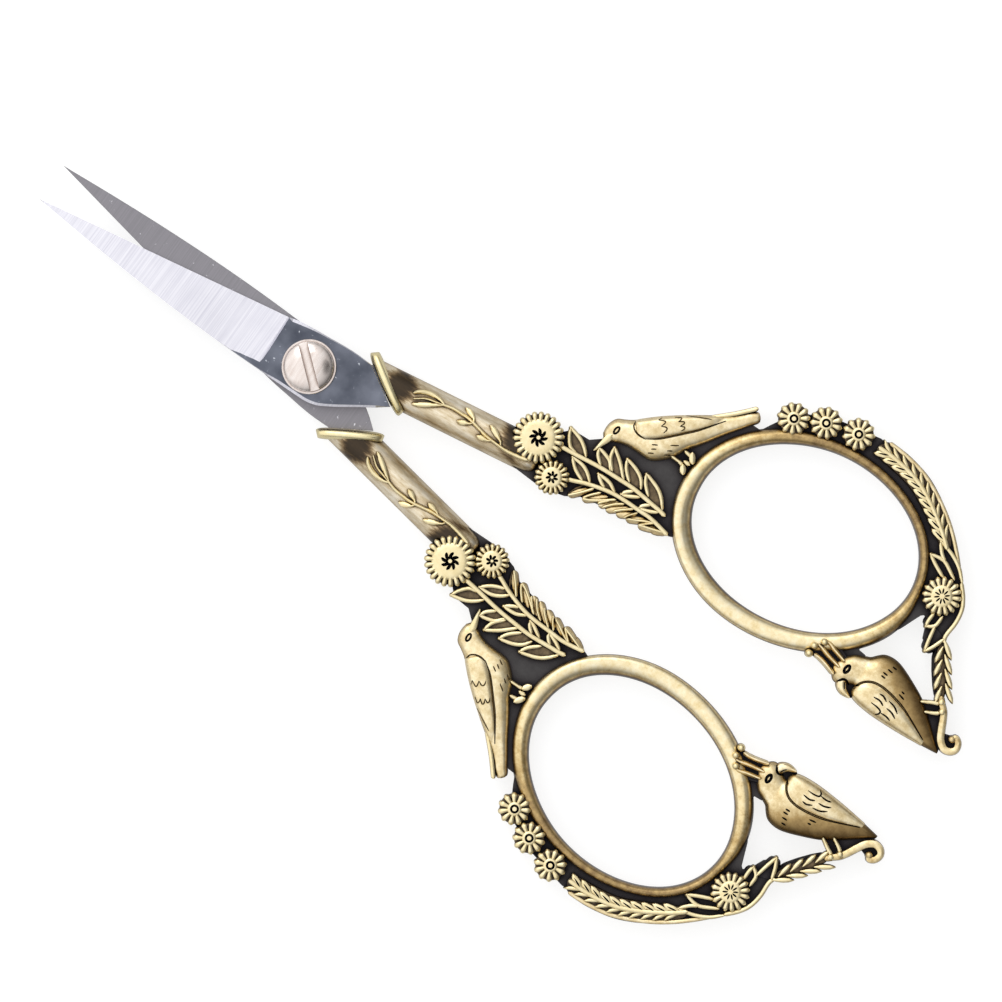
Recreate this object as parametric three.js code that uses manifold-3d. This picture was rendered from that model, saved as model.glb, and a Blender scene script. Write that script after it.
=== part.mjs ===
// Embroidery scissors with cast bird-and-flower handles, lying flat and slightly open.
// Units are millimetres and degrees, +Z up. The origin is on the pivot axis, at the flat end of the screw.
// Each half is drawn closed in its own frame: +X from the pivot towards the finger ring, +Y outwards,
// z = 0 on the plane where the two blades ride. The rear half is the front half turned over.
import * as THREE from "three";
import { mergeVertices } from "three/addons/utils/BufferGeometryUtils.js";
import Module from "manifold-3d";

const wasm = await Module();
wasm.setup();

// Whole object
const REST_OPENING = 8; // angle between the halves as they lie
const CASTING_THICKNESS = 5; // through the birds and the large flowers

// Blades
const BLADE_LENGTH = 37.4; // pivot to point
const BLADE_THICKNESS = 1.8;
const BLADE_GAP = 0.1; // between the two inner faces
const EDGE_THICKNESS = 0.25; // left at the cutting edge by grinding
const POINT_HEIGHT = 0.2; // the point above the axis, so that the points cross when shut
const GRIND_SHOULDER = 5; // pivot to the end of the ground face
const HEEL_HEIGHT = 3.75; // cutting edge above the axis at the shoulder
const SPINE_DEPTH = 3.38; // back of the blade below the axis at the shoulder
const RICASSO_TOP = 4.2; // unground plate above the axis at the pivot
const RICASSO_CORNER_X = 3.3; // lower corner of the plate, where it turns up to the collar
const RICASSO_CORNER_Y = -3.4;
const RICASSO_WIDTH = 5.4; // along the collar
const TANG_LENGTH = 12;
const TANG_WIDTH = 2.4;
const TANG_THICKNESS = 1.2;
const TANG_CLEARANCE = 0.15;

// Pivot screw
const SCREW_DIAMETER = 3.4;
const SCREW_RUNNING_CLEARANCE = 0.06; // radial, in both blades
const HEAD_DIAMETER = 6.5;
const HEAD_HEIGHT = 1.4;
const HEAD_RIM = 0.45; // straight side below the dome
const SLOT_WIDTH = 1.1;
const SLOT_DEPTH = 0.75;
const SLOT_ANGLE = -40;
const PEENED_DIAMETER = 4.6; // end spread over the rear blade
const SEAT_GAP = 0.05; // under the head and over the peened end

// Shank and collar
const COLLAR_X = 8.8;
const COLLAR_Y = 3.1;
const COLLAR_SLANT = -34.6; // direction of the collar's face
const COLLAR_LENGTH = 7.9;
const COLLAR_HEIGHT = 4.9;
const COLLAR_WIDTH = 1.1;
const SHANK_ANGLE = 5.2;
const SHANK_LENGTH = 18.5; // collar to the large flower
const SHANK_WIDTH = 4.45;
const SHANK_THICKNESS = 4.3;

// Finger ring
const RING_X = 60.3;
const RING_Y = 13.5;
const RING_OPENING_LENGTH = 27.8;
const RING_OPENING_WIDTH = 21.2;
const RING_TILT = 6;
const RING_BAND = 2.5; // radial width of the metal
const RING_THICKNESS = 3.6;

// Ornament
const WEB_THICKNESS = 1.9; // dark ground plate behind the leaves
const STEM_WIDTH = 0.5;
const STEM_THICKNESS = 3.6;
const LEAF_THICKNESS = 3.2;
const LARGE_FLOWER_RADIUS = 3.1;
const SMALL_FLOWER_RADIUS = 2.1;
const DAISY_RADIUS = 1.95;
const ASTER_RADIUS = 2.36;
const SMALL_FLOWER_THICKNESS = 4.4;
const BORDER_FLOWER_THICKNESS = 4.2;
const BIRD_THICKNESS = 4.3; // body, under the wings
const BEAD_RADIUS = 0.5; // crest tips and claws
const CREST_THICKNESS = 4.2;
const CREST_WEB_THICKNESS = 3;
const BEAK_THICKNESS = 3.8;
const BORDER_RIM_WIDTH = 0.55;
const BORDER_RIM_THICKNESS = 3;
const SMOOTHING = 0.16; // slivers narrower than this are closed up after joining

const BRASS = { color: 0xb08d4f, roughness: 0.42, metalness: 1 };
const GROUND_STEEL = { color: 0xb9bac2, roughness: 0.35, metalness: 1 };
const NICKEL = { color: 0xc9bdb2, roughness: 0.18, metalness: 1 };

const radians = THREE.MathUtils.degToRad;
const point = (x, y) => new THREE.Vector2(x, y);
const polar = (angle, length) => point(Math.cos(radians(angle)) * length, Math.sin(radians(angle)) * length);
const plus = (a, b) => a.clone().add(b);
const mix = THREE.MathUtils.lerp;

// A closed mesh as a manifold solid.
function toSolid(geometry) {
  const bare = geometry.index ? geometry.toNonIndexed() : geometry.clone();
  bare.deleteAttribute("normal");
  bare.deleteAttribute("uv");
  const merged = mergeVertices(bare, 1e-4);
  return new wasm.Manifold(
    new wasm.Mesh({
      numProp: 3,
      vertProperties: new Float32Array(merged.attributes.position.array),
      triVerts: new Uint32Array(merged.index.array),
    }),
  );
}

function toMesh(name, solid, look) {
  const { vertProperties, triVerts } = solid.getMesh();
  const geometry = new THREE.BufferGeometry();
  geometry.setAttribute("position", new THREE.BufferAttribute(new Float32Array(vertProperties), 3));
  geometry.setIndex(new THREE.BufferAttribute(new Uint32Array(triVerts), 1));
  geometry.computeVertexNormals();
  const mesh = new THREE.Mesh(geometry, new THREE.MeshStandardMaterial(look));
  mesh.name = name;
  return mesh;
}

// The outer skin alone, without the bubbles left where leaves cross.
const filled = (solid) => solid.decompose().sort((a, b) => b.volume() - a.volume())[0];

const joined = (solids) => solids.reduce((sum, solid) => sum.add(solid));

// A flat plate of the outline, centred on z = 0.
function plate(outline, thickness) {
  const geometry = new THREE.ExtrudeGeometry(new THREE.Shape(outline), { depth: thickness, bevelEnabled: false });
  return toSolid(geometry.translate(0, 0, -thickness / 2));
}

// Skins a row of equal rings of points. A closed row joins its last ring to its first, an open one is capped.
function skin(rings, closedRow) {
  const count = rings[0].length;
  const corners = rings.flat();
  const triangles = [];
  const rows = closedRow ? rings.length : rings.length - 1;
  for (let i = 0; i < rows; i++) {
    const here = i * count;
    const next = ((i + 1) % rings.length) * count;
    for (let j = 0; j < count; j++) {
      const k = (j + 1) % count;
      triangles.push(here + j, next + j, next + k, here + j, next + k, here + k);
    }
  }
  if (!closedRow) {
    const last = (rings.length - 1) * count;
    for (let j = 1; j < count - 1; j++) {
      triangles.push(0, j, j + 1, last, last + j + 1, last + j);
    }
  }
  const geometry = new THREE.BufferGeometry().setFromPoints(corners);
  geometry.setIndex(triangles);
  const solid = toSolid(geometry);
  return solid.volume() < 0 ? toSolid(reversed(geometry)) : solid;
}

function reversed(geometry) {
  const turned = geometry.index.array.slice();
  for (let i = 0; i < turned.length; i += 3) {
    [turned[i + 1], turned[i + 2]] = [turned[i + 2], turned[i + 1]];
  }
  return geometry.clone().setIndex(new THREE.BufferAttribute(turned, 1));
}

// An oval section of so many sides, and the section of a leaf or a stem: upright sides under a low ridge.
const oval = (sides) => Array.from({ length: sides }, (_, i) => polar((360 * i) / sides, 1));
const RIDGED = [point(1, -0.7), point(1, 0.7), point(0, 1), point(-1, 0.7), point(-1, -0.7), point(0, -1)];

// A body through stations {at, across, width, thickness}, with the section laid across a drawn line.
function loft(stations, section) {
  const rings = stations.map(({ at, across, width, thickness }) =>
    section.map(({ x, y }) => {
      const side = (x * width) / 2;
      return new THREE.Vector3(at.x + across.x * side, at.y + across.y * side, (y * thickness) / 2);
    }),
  );
  return skin(rings, false);
}

// A stem, vine or claw along a smooth line, with a width at each end.
function stem(points, startWidth, endWidth, thickness, steps) {
  const line = new THREE.SplineCurve(points);
  const stations = Array.from({ length: steps + 1 }, (_, i) => {
    const t = i / steps;
    const along = line.getTangent(t);
    return { at: line.getPoint(t), across: point(-along.y, along.x), width: mix(startWidth, endWidth, t), thickness };
  });
  return loft(stations, RIDGED);
}

// A pointed leaf from its base to its tip.
const LEAF_FORM = [[0, 0.4], [0.45, 1], [1, 0.12]];
function leaf(base, tip, width, thickness = LEAF_THICKNESS) {
  const along = tip.clone().sub(base).normalize();
  const stations = LEAF_FORM.map(([t, share]) => ({
    at: base.clone().lerp(tip, t),
    across: point(-along.y, along.x),
    width: width * share,
    thickness: thickness * mix(0.8, 1, share),
  }));
  return loft(stations, RIDGED);
}

// A flower seen face on: a disc of blunt petals, with a sunk eye or a raised one.
function flower(centre, radius, petals, notch, thickness, eye) {
  const outline = [];
  for (let i = 0; i < petals; i++) {
    const step = 360 / petals;
    outline.push(plus(centre, polar(i * step, radius * (1 - notch))));
    outline.push(plus(centre, polar((i + 0.28) * step, radius)));
    outline.push(plus(centre, polar((i + 0.72) * step, radius)));
  }
  const disc = plate(outline, thickness);
  const [eyeShare, eyeHeight] = eye;
  const round = new THREE.CylinderGeometry(radius * eyeShare, radius * eyeShare, Math.abs(eyeHeight), 8);
  round.rotateX(Math.PI / 2);
  const faces = [1, -1].map((side) =>
    toSolid(round.clone().translate(centre.x, centre.y, side * (thickness / 2))),
  );
  return faces.reduce((sum, face) => (eyeHeight > 0 ? sum.add(face) : sum.subtract(face)), disc);
}

// Rows [x, top, bottom] of a bird's side view, as a body that is thickest where it is widest.
function birdForm(rows, place, thickness) {
  const widest = Math.max(...rows.map(([, top, bottom]) => top - bottom));
  const up = place(0, 1).sub(place(0, 0));
  const stations = rows.map(([x, top, bottom]) => ({
    at: place(x, (top + bottom) / 2),
    across: up,
    width: top - bottom,
    thickness: thickness * Math.sqrt((top - bottom) / widest),
  }));
  return loft(stations, oval(8));
}

// Places a local drawing at an anchor, turned by an angle.
const placed = (anchor, angle) => (x, y) =>
  plus(anchor, point(x, y).rotateAround(point(0, 0), radians(angle)));

// A point near the ring: its angle round the ring, and its distance outside the ring's outer edge.
function onRing(angle, outward) {
  const long = RING_OPENING_LENGTH / 2 + RING_BAND + outward;
  const short = RING_OPENING_WIDTH / 2 + RING_BAND + outward;
  const local = point(long * Math.cos(radians(angle)), short * Math.sin(radians(angle)));
  return plus(point(RING_X, RING_Y), local.rotateAround(point(0, 0), radians(RING_TILT)));
}

// Places along the collar and the shank
const collarCentre = point(COLLAR_X, COLLAR_Y);
const collarAlong = polar(COLLAR_SLANT, 1);
const collarOut = point(collarAlong.y, -collarAlong.x); // towards the blade
const shankAlong = polar(SHANK_ANGLE, 1);
const shankEnd = plus(collarCentre, polar(SHANK_ANGLE, SHANK_LENGTH));
const fromShank = (x, y) => plus(shankEnd, point(x, y));
const largeFlowerAt = fromShank(0.18, 2.27);
const smallFlowerAt = fromShank(3.98, -0.88);

function ring() {
  const steps = 36;
  const sides = 8;
  const rings = Array.from({ length: steps }, (_, i) => {
    const angle = (360 * i) / steps;
    const middle = onRing(angle, -RING_BAND / 2);
    const across = onRing(angle, 0).sub(onRing(angle, -RING_BAND)).normalize();
    return Array.from({ length: sides }, (_, j) => {
      const turn = (2 * Math.PI * j) / sides;
      const side = (RING_BAND / 2) * Math.cos(turn);
      return new THREE.Vector3(
        middle.x + across.x * side,
        middle.y + across.y * side,
        (RING_THICKNESS / 2) * Math.sin(turn),
      );
    });
  });
  return skin(rings, true);
}

// A round bar between two straight edges, cut at a slant by the collar and square at the flowers.
function shank() {
  const shankAcross = point(-shankAlong.y, shankAlong.x);
  const mouth = SHANK_WIDTH / Math.abs(collarAlong.dot(shankAcross));
  const steps = 4;
  const edges = [-1, 1].map((side) => [
    plus(collarCentre, collarAlong.clone().multiplyScalar((side * mouth) / 2)),
    plus(shankEnd, shankAcross.clone().multiplyScalar((-side * SHANK_WIDTH) / 2)),
  ]);
  const stations = Array.from({ length: steps + 1 }, (_, i) => {
    const [top, bottom] = edges.map(([from, to]) => from.clone().lerp(to, i / steps));
    const across = top.clone().sub(bottom);
    return {
      at: top.clone().lerp(bottom, 0.5),
      across: across.clone().normalize(),
      width: across.length(),
      thickness: SHANK_THICKNESS,
    };
  });
  return loft(stations, oval(14));
}

// A rounded bead round the slanted mouth of the shank.
function collar() {
  const half = COLLAR_WIDTH / 2;
  const profile = [[0, -1], [0.9, -1], [1, -0.4], [1, 0.4], [0.9, 1], [0, 1]];
  const disc = new THREE.LatheGeometry(profile.map(([r, z]) => point(r, z * half)), 18);
  disc.rotateX(Math.PI / 2).scale(COLLAR_LENGTH / 2, COLLAR_HEIGHT / 2, 1); // axis on Z, oval in plan
  disc.rotateX(Math.PI / 2).rotateZ(radians(COLLAR_SLANT)); // axis along the face's normal
  return toSolid(disc.translate(COLLAR_X, COLLAR_Y, 0));
}

// The slot for the tang, open at the collar's face.
function tangPocket() {
  return tangBar(TANG_CLEARANCE, COLLAR_LENGTH / 2);
}

// The tang, or with a clearance the room for it. It runs back past the collar's face by the lead.
function tangBar(clearance, lead) {
  const length = TANG_LENGTH + clearance + lead;
  const bar = new THREE.BoxGeometry(length, TANG_WIDTH + 2 * clearance, TANG_THICKNESS + 2 * clearance);
  bar.translate(length / 2 - lead, 0, BLADE_GAP / 2 + TANG_THICKNESS / 2);
  bar.rotateZ(radians(SHANK_ANGLE));
  return toSolid(bar.translate(collarCentre.x, collarCentre.y, 0));
}

// Leaves along a stem: each row gives the place on the stem, the leaf's length, its direction and its width.
function leavesAlong(points, rows) {
  const line = new THREE.SplineCurve(points);
  return rows.map(([t, length, angle, width]) => {
    const base = line.getPoint(t);
    return leaf(base, plus(base, polar(angle, length)), width);
  });
}

// The spray of leaves on its ground plate, between the flowers and the ring.
function leafPanel() {
  const bird = [[3.6, 1.2], [-1, 0.8], [-5, -0.4], [-8.5, -1.4], [-12, 0.6], [-13.4, 0.4]];
  const ground = plate(
    [
      fromShank(-0.5, -1.9), fromShank(3.5, -2.6), fromShank(6.9, -2.2), fromShank(8, -1.7), fromShank(10, -1.4),
      fromShank(12.8, -1.2), fromShank(16.4, -0.9), fromShank(18.7, -0.2), onRing(-146, -1.2), onRing(-165, -1.2),
      onRing(180, -1.2), onRing(165, -1.2), onRing(150, -1.2), onRing(138, -1.2),
      ...bird.map(([x, y]) => upperBirdPlace(x, y)),
      fromShank(5.4, 5.2), fromShank(3.2, 5.2), fromShank(-0.5, 2),
    ],
    WEB_THICKNESS,
  );
  const upperStem = [fromShank(2.8, 2.75), fromShank(8, 3.15), fromShank(13, 3.05), fromShank(17.7, 2.2)];
  const lowerStem = [fromShank(6, 0.1), fromShank(9, 0.95), fromShank(13, 1.3), fromShank(19.6, 0.3)];
  const fringe = [
    [8.9, 0.6, 6.65, -1.7], [10.8, 0.6, 8.4, -1.2], [12.2, 0.7, 10.2, -0.8], [13.7, 0.8, 12.2, -0.65],
    [15.1, 0.7, 13.6, -0.6], [17.4, 0.6, 15.5, -0.35],
  ];
  return joined([
    ground,
    stem(upperStem, STEM_WIDTH, STEM_WIDTH, STEM_THICKNESS, 6),
    stem(lowerStem, STEM_WIDTH, STEM_WIDTH, STEM_THICKNESS, 6),
    ...leavesAlong(upperStem, [
      [0.2, 3.6, 146, 1.2], [0.38, 2.6, 138, 1], [0.56, 3.6, 138, 1.1], [0.74, 3.8, 146, 1.2], [0.93, 4.6, 143, 1.3],
    ]),
    ...leavesAlong(lowerStem, [
      [0.14, 3.4, 152, 0.9], [0.4, 3.1, 160, 0.9], [0.62, 2.4, 30, 0.8], [0.8, 2.2, 32, 0.7],
    ]),
    ...fringe.map(([baseX, baseY, tipX, tipY]) => leaf(fromShank(baseX, baseY), fromShank(tipX, tipY), 1.2)),
  ]);
}

const upperBirdPlace = placed(onRing(150, 0), 35);

// The long-tailed bird that bends from the ring to the leaves.
function upperBird() {
  const body = [
    [-13.4, 1.7, 1.0], [-12.8, 2.3, 0.2], [-12, 2.65, -0.1], [-11, 2.5, -0.6], [-10, 2.4, -1.4], [-8.5, 2.5, -2.5],
    [-7, 2.6, -2.6], [-5.5, 2.6, -2.3], [-4, 2.6, -1.6], [-2, 2.5, -1.0], [0.6, 2.3, -0.1],
    [2.5, 2.35, 0.45], [3.5, 2.48, 0.75], [4.2, 2.4, 1.05], [4.6, 2.15, 1.35], [4.8, 1.85, 1.65],
  ];
  const wing = [[-10.1, 2.2, 1.5], [-9.6, 2.45, 0.4], [-8.2, 2.6, 0], [-6.5, 2.7, 0.25], [-3, 2.6, 0.95], [0.95, 2.1, 1.85]];
  const at = upperBirdPlace;
  return joined([
    birdForm(body, at, BIRD_THICKNESS),
    birdForm(wing, at, CASTING_THICKNESS),
    stem([at(-12.7, 1.1), at(-13.9, 0.2), at(-15, -0.9)], 1.35, 0.3, LEAF_THICKNESS, 3),
    stem([at(-1, 2.1), at(2, 2.4), at(4.7, 2.85)], 0.6, 0.6, 3, 3),
    ...claws([at(-4.6, -1.6), at(-3.2, -2.4)], [at(-6, -2.0), at(-4.3, -3.3)]),
  ]);
}

// Legs that end in a bead.
function claws(...legs) {
  return legs.flatMap(([from, to]) => [stem([from, to], STEM_WIDTH, STEM_WIDTH, LEAF_THICKNESS, 1), bead(to)]);
}

function bead(at) {
  const ball = new THREE.SphereGeometry(BEAD_RADIUS, 6, 4).rotateX(Math.PI / 2).scale(1, 1, 3.9);
  return toSolid(ball.translate(at.x, at.y, 0));
}

// The border round the outside of the ring: daisies, a frond, an aster and loose leaves on a ground plate.
function border() {
  const outer = [
    [128, -0.4], [122, 0.4], [110, 1], [96, 1.2], [80, 1.8], [62, 2.15], [45, 2.15], [30, 2.2], [18, 2.7], [8, 3.75],
    [-2, 4.3], [-9, 4.3], [-14, 4.1], [-20, 3.2], [-18, 2.2], [-13, 1.4], [-10, 0.6], [-10, -1.2],
  ];
  const edge = outer.map(([angle, outward]) => onRing(angle, outward));
  const rim = outer.slice(4, 13).map(([angle, outward]) => onRing(angle, outward - BORDER_RIM_WIDTH / 2));
  const back = Array.from({ length: 11 }, (_, i) => onRing(mix(0, 128, i / 10), -1.2));
  const frondLine = [[80, 0.6], [66, 0.75], [52, 0.7], [40, 0.5], [29, 0.35]].map(([a, o]) => onRing(a, o));
  const leafCount = 7;
  const frond = Array.from({ length: leafCount }, (_, i) => mix(34, 73, i / (leafCount - 1))).flatMap((angle) => [
    leaf(onRing(angle, 0.5), onRing(angle + 9, 1.8), 0.85),
    leaf(onRing(angle, 0.5), onRing(angle + 9, -0.6), 0.8),
  ]);
  return joined([
    plate([...edge, ...back], WEB_THICKNESS),
    ...[115.9, 102.4, 88.5].map((angle, i) =>
      flower(onRing(angle, mix(0.3, 0.65, i / 2)), DAISY_RADIUS, 12, 0.2, BORDER_FLOWER_THICKNESS, [0.22, 0.5]),
    ),
    stem(frondLine, STEM_WIDTH, STEM_WIDTH, STEM_THICKNESS, 6),
    stem(rim, BORDER_RIM_WIDTH, BORDER_RIM_WIDTH, BORDER_RIM_THICKNESS, 9),
    ...frond,
    flower(onRing(2.7, 1.2), ASTER_RADIUS, 14, 0.17, BORDER_FLOWER_THICKNESS, [0.3, -0.4]),
    leaf(onRing(11.5, 2.4), onRing(27, 0.45), 1.1),
    leaf(onRing(12, 1.3), onRing(24, -0.8), 1.0),
    leaf(onRing(-5.5, 1.9), onRing(-12.3, 1.25), 0.9),
    leaf(onRing(-6, 3.1), onRing(-21.6, 3.3), 1.8),
  ]);
}

const lowerBirdPlace = placed(onRing(-52.4, 1.4), 0);

// The crested bird that looks back along the handle, its perch and the curl at the end of it.
function lowerBird() {
  const at = lowerBirdPlace;
  const drawn = (points) => points.map(([x, y]) => at(x, y));
  const body = [
    [-1.35, -0.4, -1.0], [-1.0, 0.25, -1.65], [-0.4, 1.05, -2.1], [0.3, 1.7, -2.1], [0.9, 1.95, -1.9], [1.5, 2.15, -1.5],
    [2.1, 2.4, -1.6], [2.6, 2.9, -2.4], [3.2, 3.4, -3.0], [3.9, 3.6, -3.25], [4.9, 3.6, -3.4], [6, 3.3, -3.5],
    [7.7, 2.5, -3.55], [9.7, 1.4, -3.55], [11.5, 0, -3.5], [13.2, -1.6, -3.4], [14.6, -2.9, -3.3],
  ];
  const wing = [
    [2.25, -1.7, -2.3], [2.7, -0.8, -2.9], [3.5, -0.2, -3.2], [4.6, 0.05, -3.4], [6, -0.1, -3.55], [8, -0.65, -3.6],
    [9.7, -1.4, -3.6], [12.3, -2.75, -3.5],
  ];
  const beak = drawn([[0.4, -1.6], [0.66, -2.48], [1.11, -2.95], [2.2, -3.27]]);
  const headWeb = [onRing(-56, -1), onRing(-48, -1), onRing(-42, -0.6), at(1.5, 2.5), at(1, 1), at(-1, 0.2)];
  const throatWeb = drawn([[0.9, -1.6], [2.5, -1.0], [3.5, -2.6], [2.9, -3.25], [2.2, -3.25], [1.3, -2.7]]);
  const tailWeb = drawn([[9.4, 1.0], [12.1, 1.9], [13, 0.5], [14.3, -1.9], [14.6, -3.0], [11, -1]]);
  const crestWeb = drawn([
    [-4.8, -1.6], [-3.6, -1.3], [-2.5, -1.35], [-1.4, -1.7], [-0.3, -2.0], [-0.1, 0.7], [-1.8, 1.5], [-3.9, 1.3],
  ]);
  const crest = [
    [[-0.6, 0.35], [-2.0, 0.8], [-3.25, 1.2], [-3.6, 1.0]],
    [[-0.8, -0.5], [-2.5, -0.1], [-4.05, 0.35], [-4.4, 0.0]],
    [[-0.8, -1.2], [-2.4, -0.85], [-3.9, -0.8], [-4.45, -1.05]],
  ];
  const perch = drawn([
    [11.5, 2.8], [12.65, 1.4], [13.1, 0.55], [13.6, -0.65], [14.15, -1.7], [15, -2.35], [15.8, -2.25], [16.25, -1.7],
    [16.1, -0.95], [15.55, -0.55], [15.2, -0.8],
  ]);
  const curlFloor = drawn([[14.1, -0.8], [14.3, -2], [15.3, -2.3], [16.1, -1.8], [16.1, -0.9], [15.3, -0.5]]);
  const legs = [[[9.7, 0.95], [11.9, 2.0]], [[10.7, 0.15], [12.5, 1.1]]];
  return joined([
    birdForm(body, at, BIRD_THICKNESS),
    birdForm(wing, at, CASTING_THICKNESS),
    stem(beak, 1.2, 0.3, BEAK_THICKNESS, 5),
    plate(headWeb, WEB_THICKNESS),
    plate(throatWeb, WEB_THICKNESS),
    plate(tailWeb, WEB_THICKNESS),
    plate(crestWeb, CREST_WEB_THICKNESS),
    plate(curlFloor, WEB_THICKNESS),
    stem(perch, 0.9, 0.85, STEM_THICKNESS, 15),
    ...crest.flatMap((prong) => [stem(drawn(prong), 0.66, 0.66, CREST_THICKNESS, 3), bead(at(...prong.at(-1)))]),
    ...claws(...legs.map(drawn)),
  ]);
}

// The leafy twig between the border and the perch.
function twig() {
  const at = lowerBirdPlace;
  const line = [at(8.3, 8.2), at(9, 6.7), at(10, 5.1), at(10.8, 3.8), at(11.7, 2.4)];
  const leafPairs = 4;
  const leaves = Array.from({ length: leafPairs }, (_, i) => i / (leafPairs - 1)).flatMap((t) => {
    const right = at(8.3, 8.6).lerp(at(11.1, 4.3), t);
    const left = at(8.6, 7.9).lerp(at(10.9, 3.8), t);
    return [leaf(right, plus(right, polar(-42, 2.6)), 1), leaf(left, plus(left, polar(-82, 2.2)), 0.9)];
  });
  return joined([
    stem(line, 1.6, 1.5, WEB_THICKNESS, 5),
    ...leaves,
  ]);
}

function handle() {
  const casting = joined([
    ring(),
    shank(),
    collar(),
    leafPanel(),
    flower(largeFlowerAt, LARGE_FLOWER_RADIUS, 20, 0.13, CASTING_THICKNESS, [0.3, -0.6]),
    flower(smallFlowerAt, SMALL_FLOWER_RADIUS, 14, 0.15, SMALL_FLOWER_THICKNESS, [0.3, -0.5]),
    upperBird(),
    border(),
    twig(),
    lowerBird(),
  ]);
  return filled(casting).subtract(tangPocket()).asOriginal().simplify(SMOOTHING);
}

// One blade with its tang, and a hole for the screw.
function blade() {
  const front = plus(collarCentre, collarOut.clone().multiplyScalar(COLLAR_WIDTH / 2 + TANG_CLEARANCE));
  const seatTop = plus(front, collarAlong.clone().multiplyScalar(-RICASSO_WIDTH / 2));
  const seatBottom = plus(front, collarAlong.clone().multiplyScalar(RICASSO_WIDTH / 2));
  const outline = new THREE.Shape();
  outline.moveTo(-BLADE_LENGTH, POINT_HEIGHT);
  outline.quadraticCurveTo(-BLADE_LENGTH * 0.5, -SPINE_DEPTH * 0.83, -GRIND_SHOULDER, -SPINE_DEPTH);
  outline.lineTo(RICASSO_CORNER_X, RICASSO_CORNER_Y);
  outline.lineTo(seatBottom.x, seatBottom.y);
  outline.lineTo(seatTop.x, seatTop.y);
  outline.lineTo(0, RICASSO_TOP);
  outline.lineTo(-GRIND_SHOULDER, HEEL_HEIGHT);
  const blank = new THREE.ExtrudeGeometry(outline, { depth: BLADE_THICKNESS, bevelEnabled: false, curveSegments: 12 });
  const hole = new THREE.CylinderGeometry(
    SCREW_DIAMETER / 2 + SCREW_RUNNING_CLEARANCE,
    SCREW_DIAMETER / 2 + SCREW_RUNNING_CLEARANCE,
    4 * BLADE_THICKNESS,
    32,
  );
  return toSolid(blank.translate(0, 0, BLADE_GAP / 2))
    .subtract(grinding())
    .add(tangBar(0, RICASSO_WIDTH / 2))
    .subtract(toSolid(hole.rotateX(Math.PI / 2)));
}

// What the wheel takes off: a flat face that falls from the back of the blade to the cutting edge.
function grinding() {
  const edgeLine = Math.atan2(HEEL_HEIGHT - POINT_HEIGHT, BLADE_LENGTH - GRIND_SHOULDER);
  const fall = Math.atan2(BLADE_THICKNESS - EDGE_THICKNESS, HEEL_HEIGHT + SPINE_DEPTH);
  const reach = BLADE_LENGTH * 1.5;
  const block = new THREE.BoxGeometry(reach, reach, BLADE_THICKNESS * 2);
  block.translate(0, 0, BLADE_THICKNESS).rotateX(-fall); // the face tips down towards +Y
  block.translate(0, 0, BLADE_GAP / 2 + EDGE_THICKNESS).rotateZ(edgeLine);
  block.translate(-BLADE_LENGTH, POINT_HEIGHT, 0);
  const kept = new THREE.BoxGeometry(reach * 4, reach * 4, reach * 4).translate(reach * 2 - GRIND_SHOULDER, 0, 0);
  return toSolid(block).subtract(toSolid(kept));
}

// Slotted screw with a domed head, its end spread behind the rear blade.
function pivotScrew() {
  const stack = BLADE_THICKNESS + BLADE_GAP / 2 + SEAT_GAP;
  const bottom = -CASTING_THICKNESS / 2;
  const radius = SCREW_DIAMETER / 2;
  const headRadius = HEAD_DIAMETER / 2;
  const peened = PEENED_DIAMETER / 2;
  const profile = [
    point(0, bottom), point(peened * 0.8, bottom), point(peened, (bottom - stack) / 2), point(peened, -stack),
    point(radius, -stack), point(radius, stack), point(headRadius, stack), point(headRadius, stack + HEAD_RIM),
  ];
  const domeSteps = 4;
  for (let i = 1; i <= domeSteps; i++) {
    const turn = (Math.PI / 2) * (i / domeSteps);
    const height = (HEAD_HEIGHT - HEAD_RIM) * Math.sin(turn);
    profile.push(point(i === domeSteps ? 0 : headRadius * Math.cos(turn), stack + HEAD_RIM + height));
  }
  const turned = new THREE.LatheGeometry(profile, 28).rotateX(Math.PI / 2);
  const slot = new THREE.BoxGeometry(HEAD_DIAMETER * 2, SLOT_WIDTH, SLOT_DEPTH * 2);
  slot.rotateZ(radians(SLOT_ANGLE)).translate(0, 0, stack + HEAD_HEIGHT);
  return toSolid(turned).subtract(toSolid(slot));
}

const handleSolid = handle();
const bladeSolid = blade();

function half(name, opening) {
  const group = new THREE.Group();
  group.add(toMesh(`${name}_blade`, bladeSolid, GROUND_STEEL));
  group.add(toMesh(`${name}_handle`, handleSolid, BRASS));
  group.rotation.z = radians(opening);
  return group;
}

const scissors = new THREE.Group();
const frontHalf = half("front", REST_OPENING / 2);
const rearHalf = half("rear", REST_OPENING / 2);
const turnedOver = new THREE.Group();
turnedOver.rotation.x = Math.PI;
turnedOver.add(rearHalf);
scissors.add(frontHalf, turnedOver, toMesh("pivot_screw", pivotScrew(), NICKEL));
for (const child of scissors.children) {
  child.position.z = CASTING_THICKNESS / 2;
}

export default scissors;
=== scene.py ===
# %% [markdown]
# These are small embroidery scissors, lying flat and a little open. Each half is a steel blade whose tang
# is set in a brass casting: a shank with a vine, two flowers, a spray of leaves, a finger ring and two
# birds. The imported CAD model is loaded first. It holds the place of every piece, so nothing here has to be
# fitted by eye.

# %% Load the frame
import math

import bmesh
import bpy
import numpy as np
from mathutils import Matrix, Vector


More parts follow.
